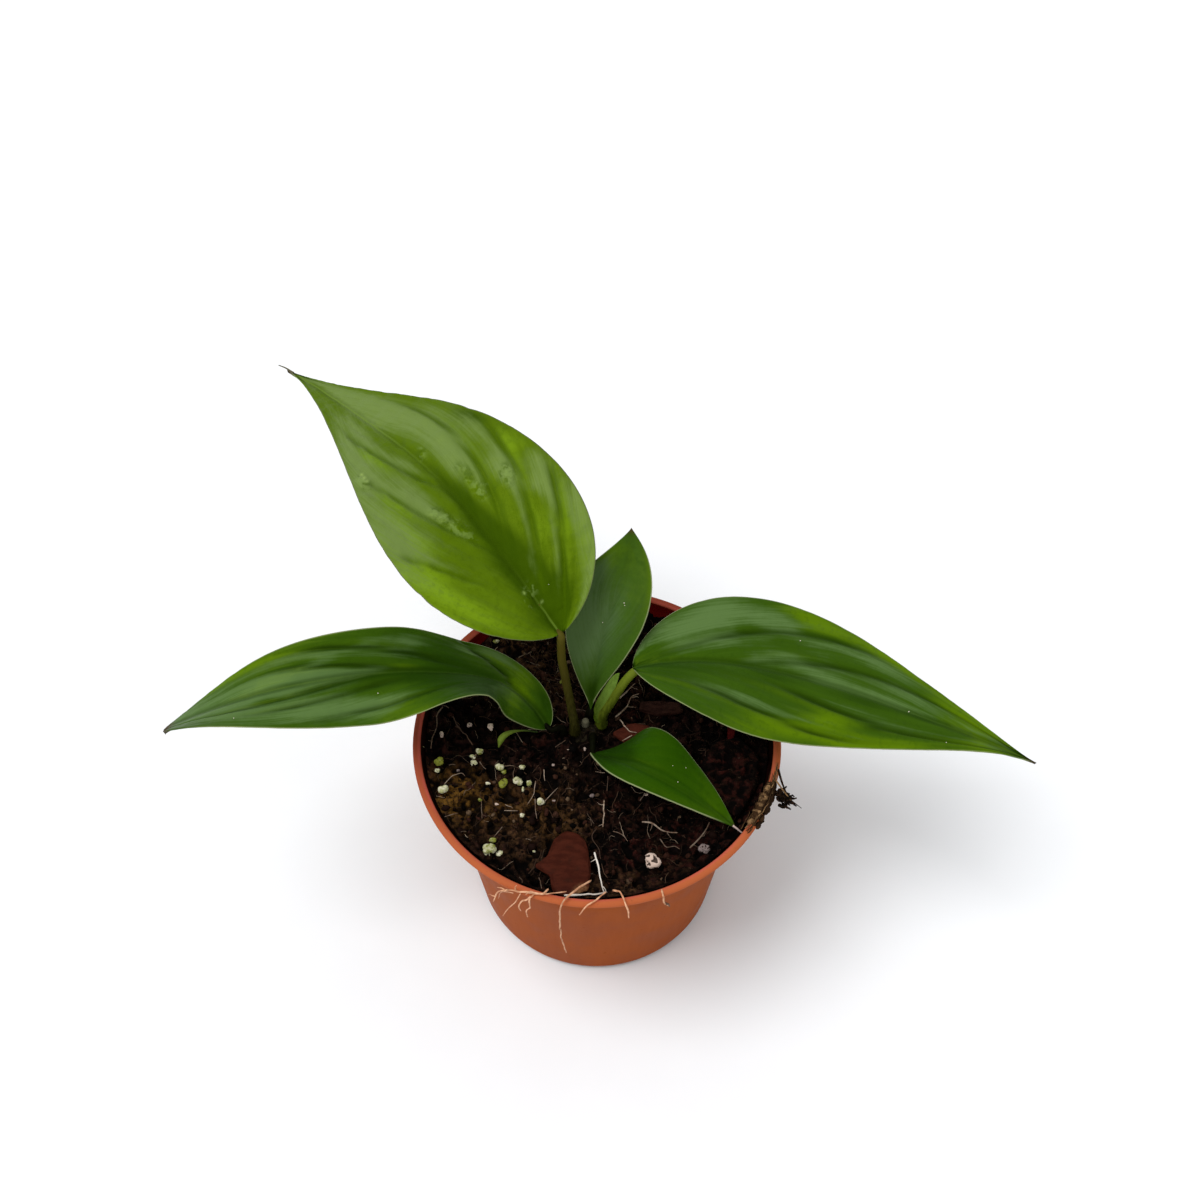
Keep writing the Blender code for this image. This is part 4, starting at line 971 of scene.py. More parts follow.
def blade_shape(blade, blisters=False):
    """A blade as one closed skin: columns run over the upper side from margin to margin and back underneath,
    and rows from base to tip. A lateral vein leaves the midrib and leans towards the tip in proportion to
    across, and the skin swells between two veins as the sine of the vein count."""
    rows, columns = blade.rows, blade.columns
    station = np.linspace(0, 1, rows)
    station = np.clip(station - 0.5 * np.sin(2 * np.pi * station) / (2 * np.pi), 0, 1)
    sweep = np.linspace(-1, 1, columns)
    sweep = 0.5 * sweep + 0.5 * np.sin(sweep * np.pi / 2)
    across = np.concatenate([sweep, sweep[-2:0:-1]])
    under = np.concatenate([np.zeros(columns), np.ones(columns - 2)])
    along, across = np.meshgrid(station, across, indexing="ij")
    under = np.broadcast_to(under, along.shape)
    half = half_width(blade, along, across)
    beside = half * across
    out = np.abs(across)
    slant = half / np.hypot(half, blade.vein_lean * blade.length)
    start = along - blade.vein_lean * out
    start = start + 0.012 * np.sin(15 * start + 2.2 * np.sign(across)) + 0.006 * np.sin(31 * start)
    veins = start / blade.vein_gap + 0.4 * (across > 0)
    gap = blade.vein_gap * blade.length * slant
    swell = blade.quilt * gap * np.abs(np.sin(np.pi * veins)) ** 0.8 * (1 - bell(beside, 1.8))
    groove, shade, above, below = crease_marks(blade, along, across, half)
    wave = 0.02 * half * out**3 * np.sin(9 * along + 1.3 * np.sign(across))
    bumps, near_blisters, glint = np.zeros((3, *along.shape))
    if blisters:
        bumps, near_blisters = blister_bumps(along, beside, blade.length)
    for place, side, size in blade.specks:
        apart = ((along - place) * blade.length) ** 2 + ((across - side) * half) ** 2
        glint += np.exp(-apart / size**2)
    channel = blade.channel * bell(beside, CHANNEL_WIDTH) * (1 - along) ** 0.4
    skin = SKIN / 2 * np.sqrt(1 - out**24) * np.minimum(1, half) ** 0.5
    rib = RIB_HEIGHT * bell(beside, RIB_WIDTH) * (1 - along) ** 0.5 * np.minimum(1, half / 2)
    puckers = blade.pucker * rough(np.stack([0.6 * beside, along * blade.length, 0 * along], -1), 2.2, 19, 3)
    middle = swell + wave + puckers * np.minimum(1, half / 3) - CREASE_DEPTH * groove
    middle = middle + (BLISTER_HEIGHT * bumps - channel) * (1 - under)
    lift = middle + np.where(under > 0, -skin - rib, skin)
    points = blade_points(blade, along, across, lift)
    inset = (1 - out) * half + 0.5 * (1 - np.minimum(1, half))
    # The crease mark carries painted shade; the pale and yellow-green marks carry painted highlights beside
    # the creases.
    marks = {"flow": start * blade.length * slant + 40 * (across > 0),
             "reach": out * blade.vein_lean * blade.length,
             "crease": shade, "rib": np.abs(beside), "blister_zone": near_blisters, "glint": glint, "under": under,
             "inset": inset, "run": along, "thread": 0 * along,
             "pale": patches(blade.pale, along, across) + 0.45 * above - 0.3 * below,
             "fresh_and_lit": patches(blade.fresh_and_lit, along, across) + 0.25 * below - 0.2 * above,
             "dark": patches(blade.dark, along, across)}
    faces = grid_faces(rows, 2 * columns - 2, closed=True)
    return Shape(points.reshape(-1, 3), faces, {name: np.ravel(values) for name, values in marks.items()})


def drip_tip(blade, length, tone):
    """The thread that runs on from a blade's tip: a bar that thins to a point along the spine's last
    direction."""
    last = blade_points(blade, np.array([0.975, 0.99, 1.0]), np.zeros(3), np.zeros(3))
    ahead = unit(last[2] - last[1])
    end = last[2] + length * unit(ahead + (0.0, 0.0, -0.2))
    path = smooth_path([*last, end], 18)
    thread = bar(path, np.linspace(0.27, 0.13, 18), 10)
    everywhere = np.ones(len(thread.points))
    thread.marks = {"thread": tone * everywhere, "inset": everywhere}
    return thread


def make_leaves():
    green = leaf_finish(
        "green_leaf", skin=(0.032, 0.081, 0.0034), deep=(0.012, 0.041, 0.0014),
        fresh_and_lit=(0.088, 0.168, 0.0014), sheen=(0.089, 0.161, 0.046), margin=(0.3, 0.33, 0.16),
        furrow_shade=(0.0084, 0.029, 0.0008), streak=1.1, rib_shade=0.55, rib_light=0.1, pucker=0.09)
    young = leaf_finish(
        "young_green_leaf", skin=(0.036, 0.084, 0.008), deep=(0.01, 0.031, 0.001),
        fresh_and_lit=(0.054, 0.112, 0.003), sheen=(0.076, 0.134, 0.048), margin=(0.34, 0.37, 0.19),
        furrow_shade=(0.008, 0.024, 0.0008), streak=0.3, rib_shade=0.12, rib_light=0.0, pucker=0.05)
    deep = leaf_finish(
        "deep_green_leaf", skin=(0.018, 0.063, 0.0006), deep=(0.0072, 0.032, 0.0003),
        fresh_and_lit=(0.04, 0.098, 0.0008), sheen=(0.046, 0.104, 0.012), margin=(0.34, 0.37, 0.19),
        furrow_shade=(0.006, 0.026, 0.0003), streak=0.5, rib_shade=0.3, rib_light=0.1, pucker=0.06)
    ripe = leaf_finish(
        "yellow_green_leaf", skin=(0.077, 0.138, 0.0022), deep=(0.029, 0.064, 0.0004),
        fresh_and_lit=(0.158, 0.27, 0.007), sheen=(0.142, 0.212, 0.052), margin=(0.13, 0.14, 0.07),
        furrow_shade=(0.043, 0.088, 0.0004), streak=0.5, rib_shade=0.25, rib_light=0.5, pucker=0.22)
    finishes = {"back_left_blade": ripe, "left_blade": green, "right_blade": green, "back_blade": young,
                "front_blade": deep}
    for node, finish in finishes.items():
        blade = BLADES[node]
        parts = [blade_shape(blade, blisters=finish is ripe)]
        if node in DRIP_TIPS:
            parts.append(drip_tip(blade, *DRIP_TIPS[node]))
        slot = "pale_leaf" if finish is ripe else "leaf"
        add_piece(node.replace("blade", "leaf"), joined(parts), finish, slot, node)


def make_stalks():
    """Each stalk is a bar from a sheathing foot on the crown up into the rib under its blade."""
    # The left, back and front stalks are painted near black: painted shade where they stand in the leaves'
    # shadow.
    in_shade_stalks = stalk_finish(
        "shaded_stalk_skin", (0.0018, 0.0016, 0.001), (0.0045, 0.0055, 0.0012), (0.006, 0.007, 0.0014), 0.01)
    ochre = stalk_finish(
        "ochre_stalk", (0.013, 0.012, 0.0022), (0.083, 0.069, 0.008), (0.056, 0.052, 0.008), 0.03)
    green = stalk_finish(
        "green_stalk", (0.034, 0.046, 0.003), (0.125, 0.165, 0.011), (0.14, 0.18, 0.012), 0.05)
    skins = {"back_left": ochre, "right": green}
    for side, (foot, top, points) in STALKS.items():
        blade = BLADES[side + "_blade"]
        stations = np.array(RIB_STATIONS)
        sunk = blade_points(blade, stations, 0 * stations, -SKIN / 2 - np.array(RIB_SINK) * top)
        root = np.array(points[0]) - (0, 0, 1.6)
        path = smooth_path([root, *points, *sunk], 72)
        run = np.concatenate([[0], np.cumsum(np.linalg.norm(np.diff(path, axis=0), axis=1))])
        on_stalk = run[np.argmin(np.linalg.norm(path - sunk[0], axis=1))]
        share = np.clip(run / on_stalk, 0, 1)
        tail = np.clip((run - on_stalk) / (run[-1] - on_stalk), 0, 1)
        radii = (foot + (top - foot) * share) * (1 - 0.75 * tail**0.7) + 0.5 * np.exp(-run / 2.4)
        add_piece(side + "_leaf_stalk", bar(path, radii, 20), skins.get(side, in_shade_stalks), "stalk", side + "_stalk")


def make_young_growth():
    """The sheath on the right-hand stalk, the curled side shoot and the old stalk's stub."""
    shoot = stalk_finish("young_shoot", (0.026, 0.044, 0.001), (0.12, 0.205, 0.03), (0.11, 0.17, 0.02), 0.03)
    sheath = blade_shape(BLADES["right_stalk_sheath"])
    sheath.marks = {"run": sheath.marks["run"]}
    add_piece("stalk_sheath", sheath, shoot, "shoot", "right_stalk_sheath")
    path = laid(SIDE_SHOOT_PATH, 48, -0.4)
    share = np.linspace(0, 1, 48)
    radii = 0.22 + 0.58 * eased(share, 0.35, 0.8) - 0.62 * eased(share, 0.85, 1.0)
    curled = stalk_finish("curled_shoot", (0.012, 0.026, 0.005), (0.15, 0.215, 0.02), (0.1, 0.15, 0.02))
    add_piece("curled_shoot", bar(path, radii, 18), curled, "shoot", "side_shoot")
    skin = crown_finish()
    foot, top, points = OLD_STALK_STUB
    path = smooth_path([points[0], np.array(points[1]) - (0.0, 0.0, 0.6)], 10)
    stub = bar(path, [foot, foot, foot, 0.98, 0.96, 0.96, top, top, 0.8, 0.5], 18, tone=0.9)
    add_piece("stalk_stub", stub, skin, "crown", "old_stalk_stub")
    add_piece("plant_crown", crown_shape(), skin, "crown", "crown")


def crown_shape():
    """A low fibrous mound under the stalks: a ball pressed to the crown's width, with ridges down its
    side."""
    directions, faces = ball(48, 96)
    low, high = span("crown")
    middle, size = (low + high) / 2, (high - low) / 2
    bearing = np.arctan2(directions[:, 1], directions[:, 0])
    ridges = 0.05 * np.abs(np.sin(4.5 * bearing + 3 * directions[:, 2])) * np.hypot(*directions[:, :2].T)
    lumps = 0.09 * rough(directions * 3, 1.0, 41)
    points = middle + directions * size * (0.97 + ridges + lumps)[:, None]
    return Shape(points, faces, {"tone": np.zeros(len(points))})


# ---------------------------------------------------------------- pot and mix


def pot_radius(height):
    """Outer radius of the pot's wall: a straight taper up to the waist, then a flare as the square of the
    height."""
    share = (height - POT_BASE_FILLET) / (POT_WAIST_HEIGHT - POT_BASE_FILLET)
    taper = POT_BASE_RADIUS + (POT_WAIST_RADIUS - POT_BASE_RADIUS) * share
    rise = np.clip((height - POT_WAIST_HEIGHT) / (POT_NECK_HEIGHT - POT_WAIST_HEIGHT), 0, None)
    return np.where(rise > 0, POT_WAIST_RADIUS + (POT_NECK_RADIUS - POT_WAIST_RADIUS) * rise**2, taper)


def inner_radius(height):
    return float(pot_radius(height)) - POT_WALL


SOIL_RADIUS = inner_radius(SOIL_EDGE_HEIGHT) - SOIL_GAP


def drained_base():
    """The pot's floor with its drain holes: one strip for each hole, ruled along the rays from the hole's
    middle to the edge of its sector, over the underside, up the hole and back over the upper side. It also
    gives the directions in which the strips meet the wall."""
    rim = POT_BASE_RADIUS - POT_BASE_FILLET
    half_turn = math.pi / DRAIN_HOLES
    corner = math.atan2(rim * math.sin(half_turn), rim * math.cos(half_turn) - DRAIN_CIRCLE)
    outer = np.linspace(-corner, corner, 33)
    inner = np.linspace(corner, math.pi, 14)[1:]
    rays = np.concatenate([-inner[::-1], outer, inner])
    inward = DRAIN_CIRCLE * np.cos(rays)
    to_rim = -inward + np.sqrt(inward**2 + rim**2 - DRAIN_CIRCLE**2)
    leaning = np.sin(np.abs(rays) - half_turn)
    to_side = np.where(leaning > 1e-6, DRAIN_CIRCLE * math.sin(half_turn) / np.maximum(leaning, 1e-6), 1e6)
    edge = np.minimum(to_rim, to_side)
    share = np.concatenate([np.linspace(1, 0, 7), np.linspace(0, 1, 7)])[:, None]
    height = np.repeat([0.0, POT_FLOOR], 7)[:, None]
    reach = DRAIN_RADIUS + (edge - DRAIN_RADIUS) * share
    flat = DRAIN_CIRCLE + reach * np.exp(1j * rays)
    strips, directions = [], []
    for k in range(DRAIN_HOLES):
        placed = flat * np.exp(2j * np.pi * (k + 0.5) / DRAIN_HOLES)
        points = np.stack([placed.real, placed.imag, height + 0 * placed.real], -1)
        strips.append(Shape(points.reshape(-1, 3), grid_faces(*placed.shape)))
        directions.append(np.angle(placed[0, 13:45]))
    return strips, np.concatenate(directions)


def make_pot():
    flare = np.linspace(POT_NECK_HEIGHT, POT_WAIST_HEIGHT, 22)
    taper = np.linspace(POT_WAIST_HEIGHT, POT_BASE_FILLET, 16)[1:]
    rim = POT_BASE_RADIUS - POT_BASE_FILLET
    outside = [(float(pot_radius(z)), z) for z in np.concatenate([flare, taper])]
    outside += arc((rim, POT_BASE_FILLET), POT_BASE_FILLET, 0, -90, 9)[1:]
    lip_middle = (POT_RIM_RADIUS - POT_LIP_RADIUS, POT_HEIGHT - POT_LIP_RADIUS)
    lip = arc(lip_middle, POT_LIP_RADIUS, 165, -75, 17)
    lip = [(POT_RIM_RADIUS - (POT_RIM_RADIUS - reach) * POT_LIP_SPREAD, z) for reach, z in lip]
    inside = [(rim, POT_FLOOR)]
    inside += arc((rim, POT_FLOOR + 2.2), 2.2, -60, 0, 5)
    inside += [(inner_radius(z), z) for z in np.concatenate([taper[::-1][2:], flare[::-1]])]
    profile = inside + lip + outside
    strips, directions = drained_base()
    wall = turned(profile, directions)
    pot = joined([wall, *strips])
    radius, height = np.hypot(*pot.points[:, :2].T), pot.points[:, 2]
    within = radius < pot_radius(height) - POT_WALL / 2
    outer_lip = eased(height, POT_NECK_HEIGHT - 0.4, POT_NECK_HEIGHT + 0.8)
    inner_lip = eased(height, POT_HEIGHT - 0.75, POT_HEIGHT - 0.35)
    bearing = np.arctan2(pot.points[:, 1], pot.points[:, 0])
    # The lip and brink marks place painted highlights, rosy a painted shadow on the left and darker red at the
    # back, and inside the painted shade.
    pot.marks = {"lip": np.where(radius < lip_middle[0], inner_lip, outer_lip),
                 "rosy": np.maximum(bell(np.abs(bearing) - math.pi, 0.5), eased(np.sin(bearing), 0.2, 0.8)),
                 "brink": bell(radius - POT_BRINK_RADIUS, 0.4),
                 "back": eased(np.sin(bearing), 0.35, 0.75),
                 "inside": (within & (height > POT_FLOOR / 2)).astype(float)}
    warp = POT_WARP * np.sin(3 * bearing + 0.6) * eased(height, 30, 67)
    pot.points[:, :2] *= (1 + warp / 45)[:, None]
    add_piece("pot_shell", pot, pot_finish(), "pot", "nursery_pot")


def from_crown(x, y):
    return np.hypot(x - CROWN_PLACE[0], y - CROWN_PLACE[1])


def ground(x, y):
    """Height of the potting mix: a low mound round the crown with soft lumps on it, level at the edge."""
    mound = SOIL_MOUND * bell(from_crown(x, y), SOIL_MOUND_RADIUS)
    wave = np.sin(x / SOIL_LUMP_LENGTH + 0.7) * np.cos(y / SOIL_LUMP_LENGTH - 0.4)
    ripple = 0.5 * np.sin((x + 1.6 * y) / SOIL_LUMP_LENGTH + 1.9)
    level = SOIL_HEIGHT + mound + SOIL_LUMP * (wave + ripple)
    reach = np.hypot(x, y) / SOIL_RADIUS
    at_edge = np.clip((reach - 1 + SOIL_EDGE_SHARE) / SOIL_EDGE_SHARE, 0, 1)
    return level * (1 - at_edge) + SOIL_EDGE_HEIGHT * at_edge


def clods(x, y):
    """The mix's own relief from 0 to 1: broken lumps, sharp where two meet, with finer crumbs on them."""
    place = np.stack([x, y, 0 * x], -1)
    broken = 1 - np.minimum(1, np.abs(rough(place, 3.6, 11, 3)))
    crumbs = rough(place, 1.1, 31, 3)
    return np.clip(0.75 * broken**1.5 + 0.3 * crumbs + 0.05, 0, 1)


def mix_height(x, y):
    """The mix's surface: its relief on the ground, sunk in the pits, less of both at the pot's wall, and
    banked up a little against the wall except at the back."""
    at_edge = eased(np.hypot(x, y), SOIL_RADIUS - 3.0, SOIL_RADIUS)
    sunk = sum(depth * np.exp(-((x - px) ** 2 + (y - py) ** 2) / radius**2) for px, py, radius, depth in PITS)
    banked = at_edge * (1 - eased(y, 0.2 * SOIL_RADIUS, 0.6 * SOIL_RADIUS))
    relief = (SOIL_RELIEF * clods(x, y) - SOIL_SINK) * (1 - 0.45 * at_edge)
    return ground(x, y) + relief - sunk * (1 - 0.7 * at_edge) + SOIL_BANK * banked


def ground_patches(points, spots):
    """How strongly each point lies in one of the round patches, their edges broken by noise."""
    total = np.zeros(len(points))
    for x, y, radius, strength in spots:
        apart = np.hypot(points[:, 0] - x, points[:, 1] - y)
        total += strength * bell(apart, radius) * (1 + 0.5 * rough(points, 3.0, 61, 2))
    return np.clip(total, 0, 1)


def make_mix():
    """The mix is turned as rings from its middle out, down the pot's wall and back along its floor, and the
    rings on top take its relief."""
    top = [(SOIL_RADIUS * share, POT_HEIGHT) for share in np.linspace(0, 1, SOIL_RINGS)]
    side = [(inner_radius(z) - SOIL_GAP, z) for z in np.linspace(SOIL_EDGE_HEIGHT - 3.2, 6.0, 14)]
    floor = [(POT_BASE_RADIUS - POT_BASE_FILLET - 1.0, POT_FLOOR + SOIL_GAP), (0.0, POT_FLOOR + SOIL_GAP)]
    mix = turned(top + side + floor, np.linspace(0, 2 * np.pi, SOIL_COLUMNS, endpoint=False))
    x, y, z = mix.points.T
    on_top = z > POT_HEIGHT - 0.1
    relief = clods(x, y)
    mix.points[:, 2] = np.where(on_top, mix_height(x, y), z)
    # Besides moss, red and dust, the mix carries patches of painted shade.
    kinds = {"moss": MOSS_PATCHES, "red": RED_PATCHES, "dust": DUST_PATCHES, "painted_shade": PAINTED_SHADE_PATCHES}
    mix.marks = {kind: ground_patches(mix.points, spots) for kind, spots in kinds.items()}
    mix.marks["height"] = relief
    add_piece("mix_bed", mix, mix_finish(), "mix", "potting_mix")


def laid(points, count, lift=0.0):
    """A smooth path through points whose heights are clear heights over the mix."""
    path = smooth_path(points, count)
    path[:, 2] += ground(path[:, 0], path[:, 1]) + lift
    return path


def strewn(draw, count, radius):
    """Random places on the mix, even over its area."""
    turn = draw.uniform(0, 2 * np.pi, count)
    return around(radius * np.sqrt(draw.uniform(0, 1, count)), turn)


def pebbles(draw, x, y, z, sizes, rows=6, columns=8, bump=0.3):
    """Rounded lumps, each a ball stretched its own way, turned by its own frame and dented by noise."""
    count = len(x)
    directions, faces = ball(rows, columns)
    dents = value_noise(directions[None] * 1.7 + np.arange(count)[:, None, None] * 3.7, 77)
    stretch = draw.uniform(0.6, 1.3, (count, 1, 3)) * sizes[:, None, None] / 2
    frames = np.linalg.qr(draw.normal(0, 1, (count, 3, 3)))[0]
    points = directions[None] * (1 + bump * dents[..., None]) * stretch
    points = np.einsum("kpi,kij->kpj", points, frames) + np.stack([x, y, z], -1)[:, None]
    return Shape(points.reshape(-1, 3), copies(faces, count, len(directions)))


def toned(shape, tones):
    """Marks each of a shape's equal lumps with its own tone."""
    shape.marks = {"tone": np.repeat(tones, len(shape.points) // len(tones))}
    return shape


def make_crumbs():
    """Crumbs of peat and bark strewn over the mix, most of them small."""
    draw = np.random.default_rng(21)
    x, y = strewn(draw, CRUMBS, SOIL_RADIUS - 0.8)
    smallest, biggest = CRUMB_SIZES
    sizes = smallest + (biggest - smallest) * draw.uniform(0, 1, CRUMBS) ** 3
    keep = from_crown(x, y) > CROWN_RADIUS
    x, y, sizes = x[keep], y[keep], sizes[keep]
    shape = pebbles(draw, x, y, mix_height(x, y) + 0.15 * sizes, sizes)
    dusty, painted_shade = (ground_patches(np.stack([x, y, 0 * x], 1), spots) for spots in (DUST_PATCHES, PAINTED_SHADE_PATCHES))
    # Crumbs are darker where shade is painted on the mix.
    tone = np.clip(draw.uniform(0, 1, len(x)) ** (1.7 - 0.9 * dusty + 1.5 * painted_shade), 0, 0.97)
    ramp = ((0.1, 0.6, (0.013, 0.0052, 0.0036)), (0.6, 0.82, (0.04, 0.0145, 0.009)),
            (0.9, 1.0, (0.16, 0.105, 0.062)))
    flecks = (0.6, 3.0, 0.4, 0.65, 0.5, (0.003, 0.002, 0.0015))
    peat = toned_finish("peat_crumbs", 0.03, (0.001, 0.0006, 0.0006), ramp, flecks, 0.75, 0.15, 0.7)
    add_piece("peat_crumbs", toned(shape, tone), peat, "mix")


def wandering(draw, x, y, length, steps, bend):
    """Paths seen from above that start at the given places, each with a heading that drifts as it goes."""
    count = len(x)
    turn = draw.uniform(0, 2 * np.pi, (count, 1)) + np.cumsum(draw.normal(0, bend, (count, steps)), axis=1)
    stride = length[:, None] / steps
    path = np.stack([x[:, None] + np.cumsum(stride * np.cos(turn), axis=1),
                     y[:, None] + np.cumsum(stride * np.sin(turn), axis=1)], -1)
    reach = np.linalg.norm(path, axis=-1, keepdims=True)
    return path * np.minimum(1, (SOIL_RADIUS - 0.6) / reach)


def make_hairs():
    """Fine root hair and peat fibre that lies on the mix, arching a little over its lumps."""
    draw = np.random.default_rng(33)
    x, y = strewn(draw, HAIRS, SOIL_RADIUS - 2)
    bunch = HAIRS // 6
    x[:bunch], y[:bunch] = draw.normal(-13, 5, bunch), draw.normal(18, 5.5, bunch)
    flat = wandering(draw, x, y, 1.2 + 7.0 * draw.uniform(0, 1, HAIRS) ** 2, HAIR_STEPS, 0.32)
    height = mix_height(flat[..., 0], flat[..., 1])
    height = np.maximum(height, height.mean(axis=1, keepdims=True)) + draw.uniform(0.0, 0.5, (HAIRS, 1))
    height += 0.5 * draw.uniform(0, 1, (HAIRS, 1)) * np.sin(np.linspace(0, np.pi, HAIR_STEPS))
    paths = np.concatenate([flat, height[..., None]], -1)
    thin = np.linspace(1, 0.55, HAIR_STEPS) * (0.05 + 0.1 * draw.uniform(0, 1, (HAIRS, 1)) ** 3)
    tone = draw.uniform(0, 1, HAIRS) ** 1.3
    ramp = ((0.15, 0.7, (0.064, 0.036, 0.022)), (0.8, 1.0, (0.32, 0.24, 0.17)))
    flecks = (0.8, 3.0, 0.45, 0.6, 0.4, (0.05, 0.028, 0.018))
    straw = toned_finish("root_hair", 0.05, (0.005, 0.0026, 0.0016), ramp, flecks, 0.7)
    add_piece("root_hair", tubes(paths, thin, 5, tone), straw, "root")


def grain_shape(x, y, z, size, looks, seed, rows=30, columns=44, uneven=0.0):
    """A grain of perlite: overlapping balls seen as one surface from its middle, with pores sunk into it.
    From there the ball of radius r about c is as far off, in the direction d, as d.c + sqrt((d.c)^2 - c.c +
    r^2). Uneven is the most that each axis may be stretched or shrunk, as a share."""
    algae, holes = looks
    draw = np.random.default_rng(seed)
    directions, faces = ball(rows, columns)
    reach = np.full(len(directions), 0.42)
    middles = unit(draw.normal(0, 1, (6, 3))) * (0.44, 0.4, 0.3)
    for middle, radius in zip(middles, draw.uniform(0.46, 0.66, 6)):
        ahead = directions @ middle
        reach = np.maximum(reach, ahead + np.sqrt(np.maximum(ahead**2 - middle @ middle + radius**2, 0)))
    pore = eased(np.abs(value_noise(directions * (2.4 if holes > 1.5 else 3.1), seed)), 0.34, 0.62) * holes
    dents = 0.05 * rough(directions * 3, 1.0, seed + 9) - 0.14 * pore
    spread = np.array([0.55, 0.5, 0.46]) * size * (1 + uneven * draw.uniform(-1, 1, 3))
    points = directions * spread * (reach + dents)[:, None] + (x, y, z)
    return Shape(points, faces, {"tone": np.full(len(points), float(algae)), "pore": pore})


def make_grains():
    finish = perlite_finish()
    for k, looks in enumerate(GRAIN_LOOKS, 1):
        low, high = span(f"perlite_{k}")
        x, y, z = (low + high) / 2
        size = (high - low)[0]
        grain = grain_shape(x, y, z - 0.15, size * 1.02, looks, 100 + k)
        add_piece(f"perlite_grain_{k}", grain, finish, "perlite", f"perlite_{k}")
    small = [grain_shape(x, y, ground(x, y) - 0.1 + 0.3 * size, size, (algae, 0.7), 130 + k, 14, 20, 0.35)
             for k, (x, y, size, algae) in enumerate(SMALL_GRAINS)]
    add_piece("small_grains", joined(small), finish, "perlite")


def outline_reach(corners, angles):
    """The corners' middle, and how far from it the straight sides between the corners lie at each angle."""
    corners = np.asarray(corners, float)
    middle = corners.mean(axis=0)
    arms = corners - middle
    bearing = np.arctan2(arms[:, 1], arms[:, 0])
    arms = arms[np.argsort(bearing)]
    start = (np.searchsorted(np.sort(bearing), angles, side="right") - 1) % len(arms)
    side = arms[(start + 1) % len(arms)] - arms[start]
    area = arms[start, 0] * side[:, 1] - arms[start, 1] * side[:, 0]
    return middle, area / (np.cos(angles) * side[:, 1] - np.sin(angles) * side[:, 0])


def chip_shape(corners, thickness, relief, seed):
    """A ball pressed flat: its rim follows the outline, softened at the corners, its half thickness is the
    root of 1 - share^6 of the way to the rim, and noise breaks its faces. The relief is kept as the mark
    `height`."""
    rows, columns = 56, 144
    directions, faces = ball(rows, columns)
    level = np.hypot(directions[:, 0], directions[:, 1])
    rise = np.sign(directions[:, 2]) * np.sqrt(1 - level**6)
    angles = np.linspace(0, 2 * np.pi, columns, endpoint=False)
    middle, reach = outline_reach(corners, (angles + np.pi) % (2 * np.pi) - np.pi)
    reach = sum(np.roll(reach, shift) for shift in (-2, -1, 0, 1, 2)) / 5
    edge = 1 + 0.03 * rough(directions * 5, 1.0, seed)
    points = np.column_stack([middle + directions[:, :2] * (np.tile(reach, rows) * edge)[:, None],
                              rise * thickness / 2])
    height = rough(points, 2.6, seed + 3)
    points[:, 2] += relief * 0.5 * height * (1 - level**10)
    floor = np.max(ground(points[:, 0], points[:, 1]) - points[:, 2])
    points[:, 2] += floor + 0.3 - CHIP_SINK
    return Shape(points, faces, {"height": np.clip(0.5 + 0.5 * height, 0, 1)})


def make_chips():
    """The flat pieces of bark. The peat block is a heap of the mix itself, and the front chip has a worn
    front edge."""
    finish = bark_finish()
    for k, (node, (corners, thickness, relief, tone)) in enumerate(FLAT_PIECES.items()):
        shape = chip_shape(corners, thickness, relief, 50 + k)
        x, y, z = shape.points.T
        nothing = 0 * x
        if node == "peat_block_right":
            rise = clods(x * 1.3 + 20, y * 1.3)
            from_middle = np.hypot(x - x.mean(), y - y.mean())
            shape.points[:, 2] += 1.6 * (rise - 0.5) * (z > z.mean()) * (from_middle < 5.0)
            # The peat block takes a little of the painted shade.
            shape.marks = {"height": rise, "red": nothing + 0.9, "moss": nothing,
                           "dust": 0.15 * shape.marks["height"], "painted_shade": nothing + 0.3}
            add_piece(node + "_skin", shape, bpy.data.materials["potting_mix"], "mix", node)
            continue
        front = node == "bark_chip_front"
        corner = np.hypot((x - WORN_CORNER[0]) / WORN_REACH[0], (y - WORN_CORNER[1]) / WORN_REACH[1])
        worn = 1 - eased(corner + 0.15 * rough(shape.points, 2.0, 71, 2), 0.55, 1.1) if front else nothing
        shape.marks = {"tone": nothing + tone, "worn": worn}
        add_piece(node + "_skin", shape, finish, "bark", node)


def rootlets(draw, path, radius, count, length, tone):
    """Side roots that leave a root at random places and wander off."""
    at = draw.integers(len(path) // 6, len(path) - 2, count)
    ahead = unit(np.gradient(path, axis=0))[at]
    side = unit(np.cross(ahead, draw.normal(0, 1, (count, 3))))
    bend = np.cumsum(draw.normal(0, 0.22, (count, HAIR_STEPS, 3)), axis=1)
    stride = draw.uniform(0.5, 1.0, (count, 1, 1)) * length / HAIR_STEPS
    course = unit(side[:, None] + 0.5 * ahead[:, None] + bend)
    paths = path[at][:, None] + np.cumsum(course * stride, axis=1) - course[:, :1] * stride
    radii = np.linspace(0.6, 0.25, HAIR_STEPS) * radius * np.ones((count, 1))
    return tubes(paths, radii, 6, np.full(count, tone))


def root_shape(draw, path, radius, branches, length, tone):
    """A root: its path wavers, its thickness swells and shrinks, and side roots leave it."""
    count = len(path)
    waver = rough(path + draw.uniform(0, 9), 2.4, 91, 2)[:, None] * (0.25, 0.25, 0.08)
    path = path + waver * np.sin(np.linspace(0, np.pi, count))[:, None]
    radii = radius * np.linspace(1, ROOT_SHRINK, count) * (1 + 0.22 * rough(path, 1.3, 93, 2))
    radii[-1] *= 0.4
    radii[0] *= 0.6
    parts = [bar(path, radii, 12, tone)]
    if branches:
        parts.append(rootlets(draw, path, radius, branches, length, tone + 0.2))
    return joined(parts)


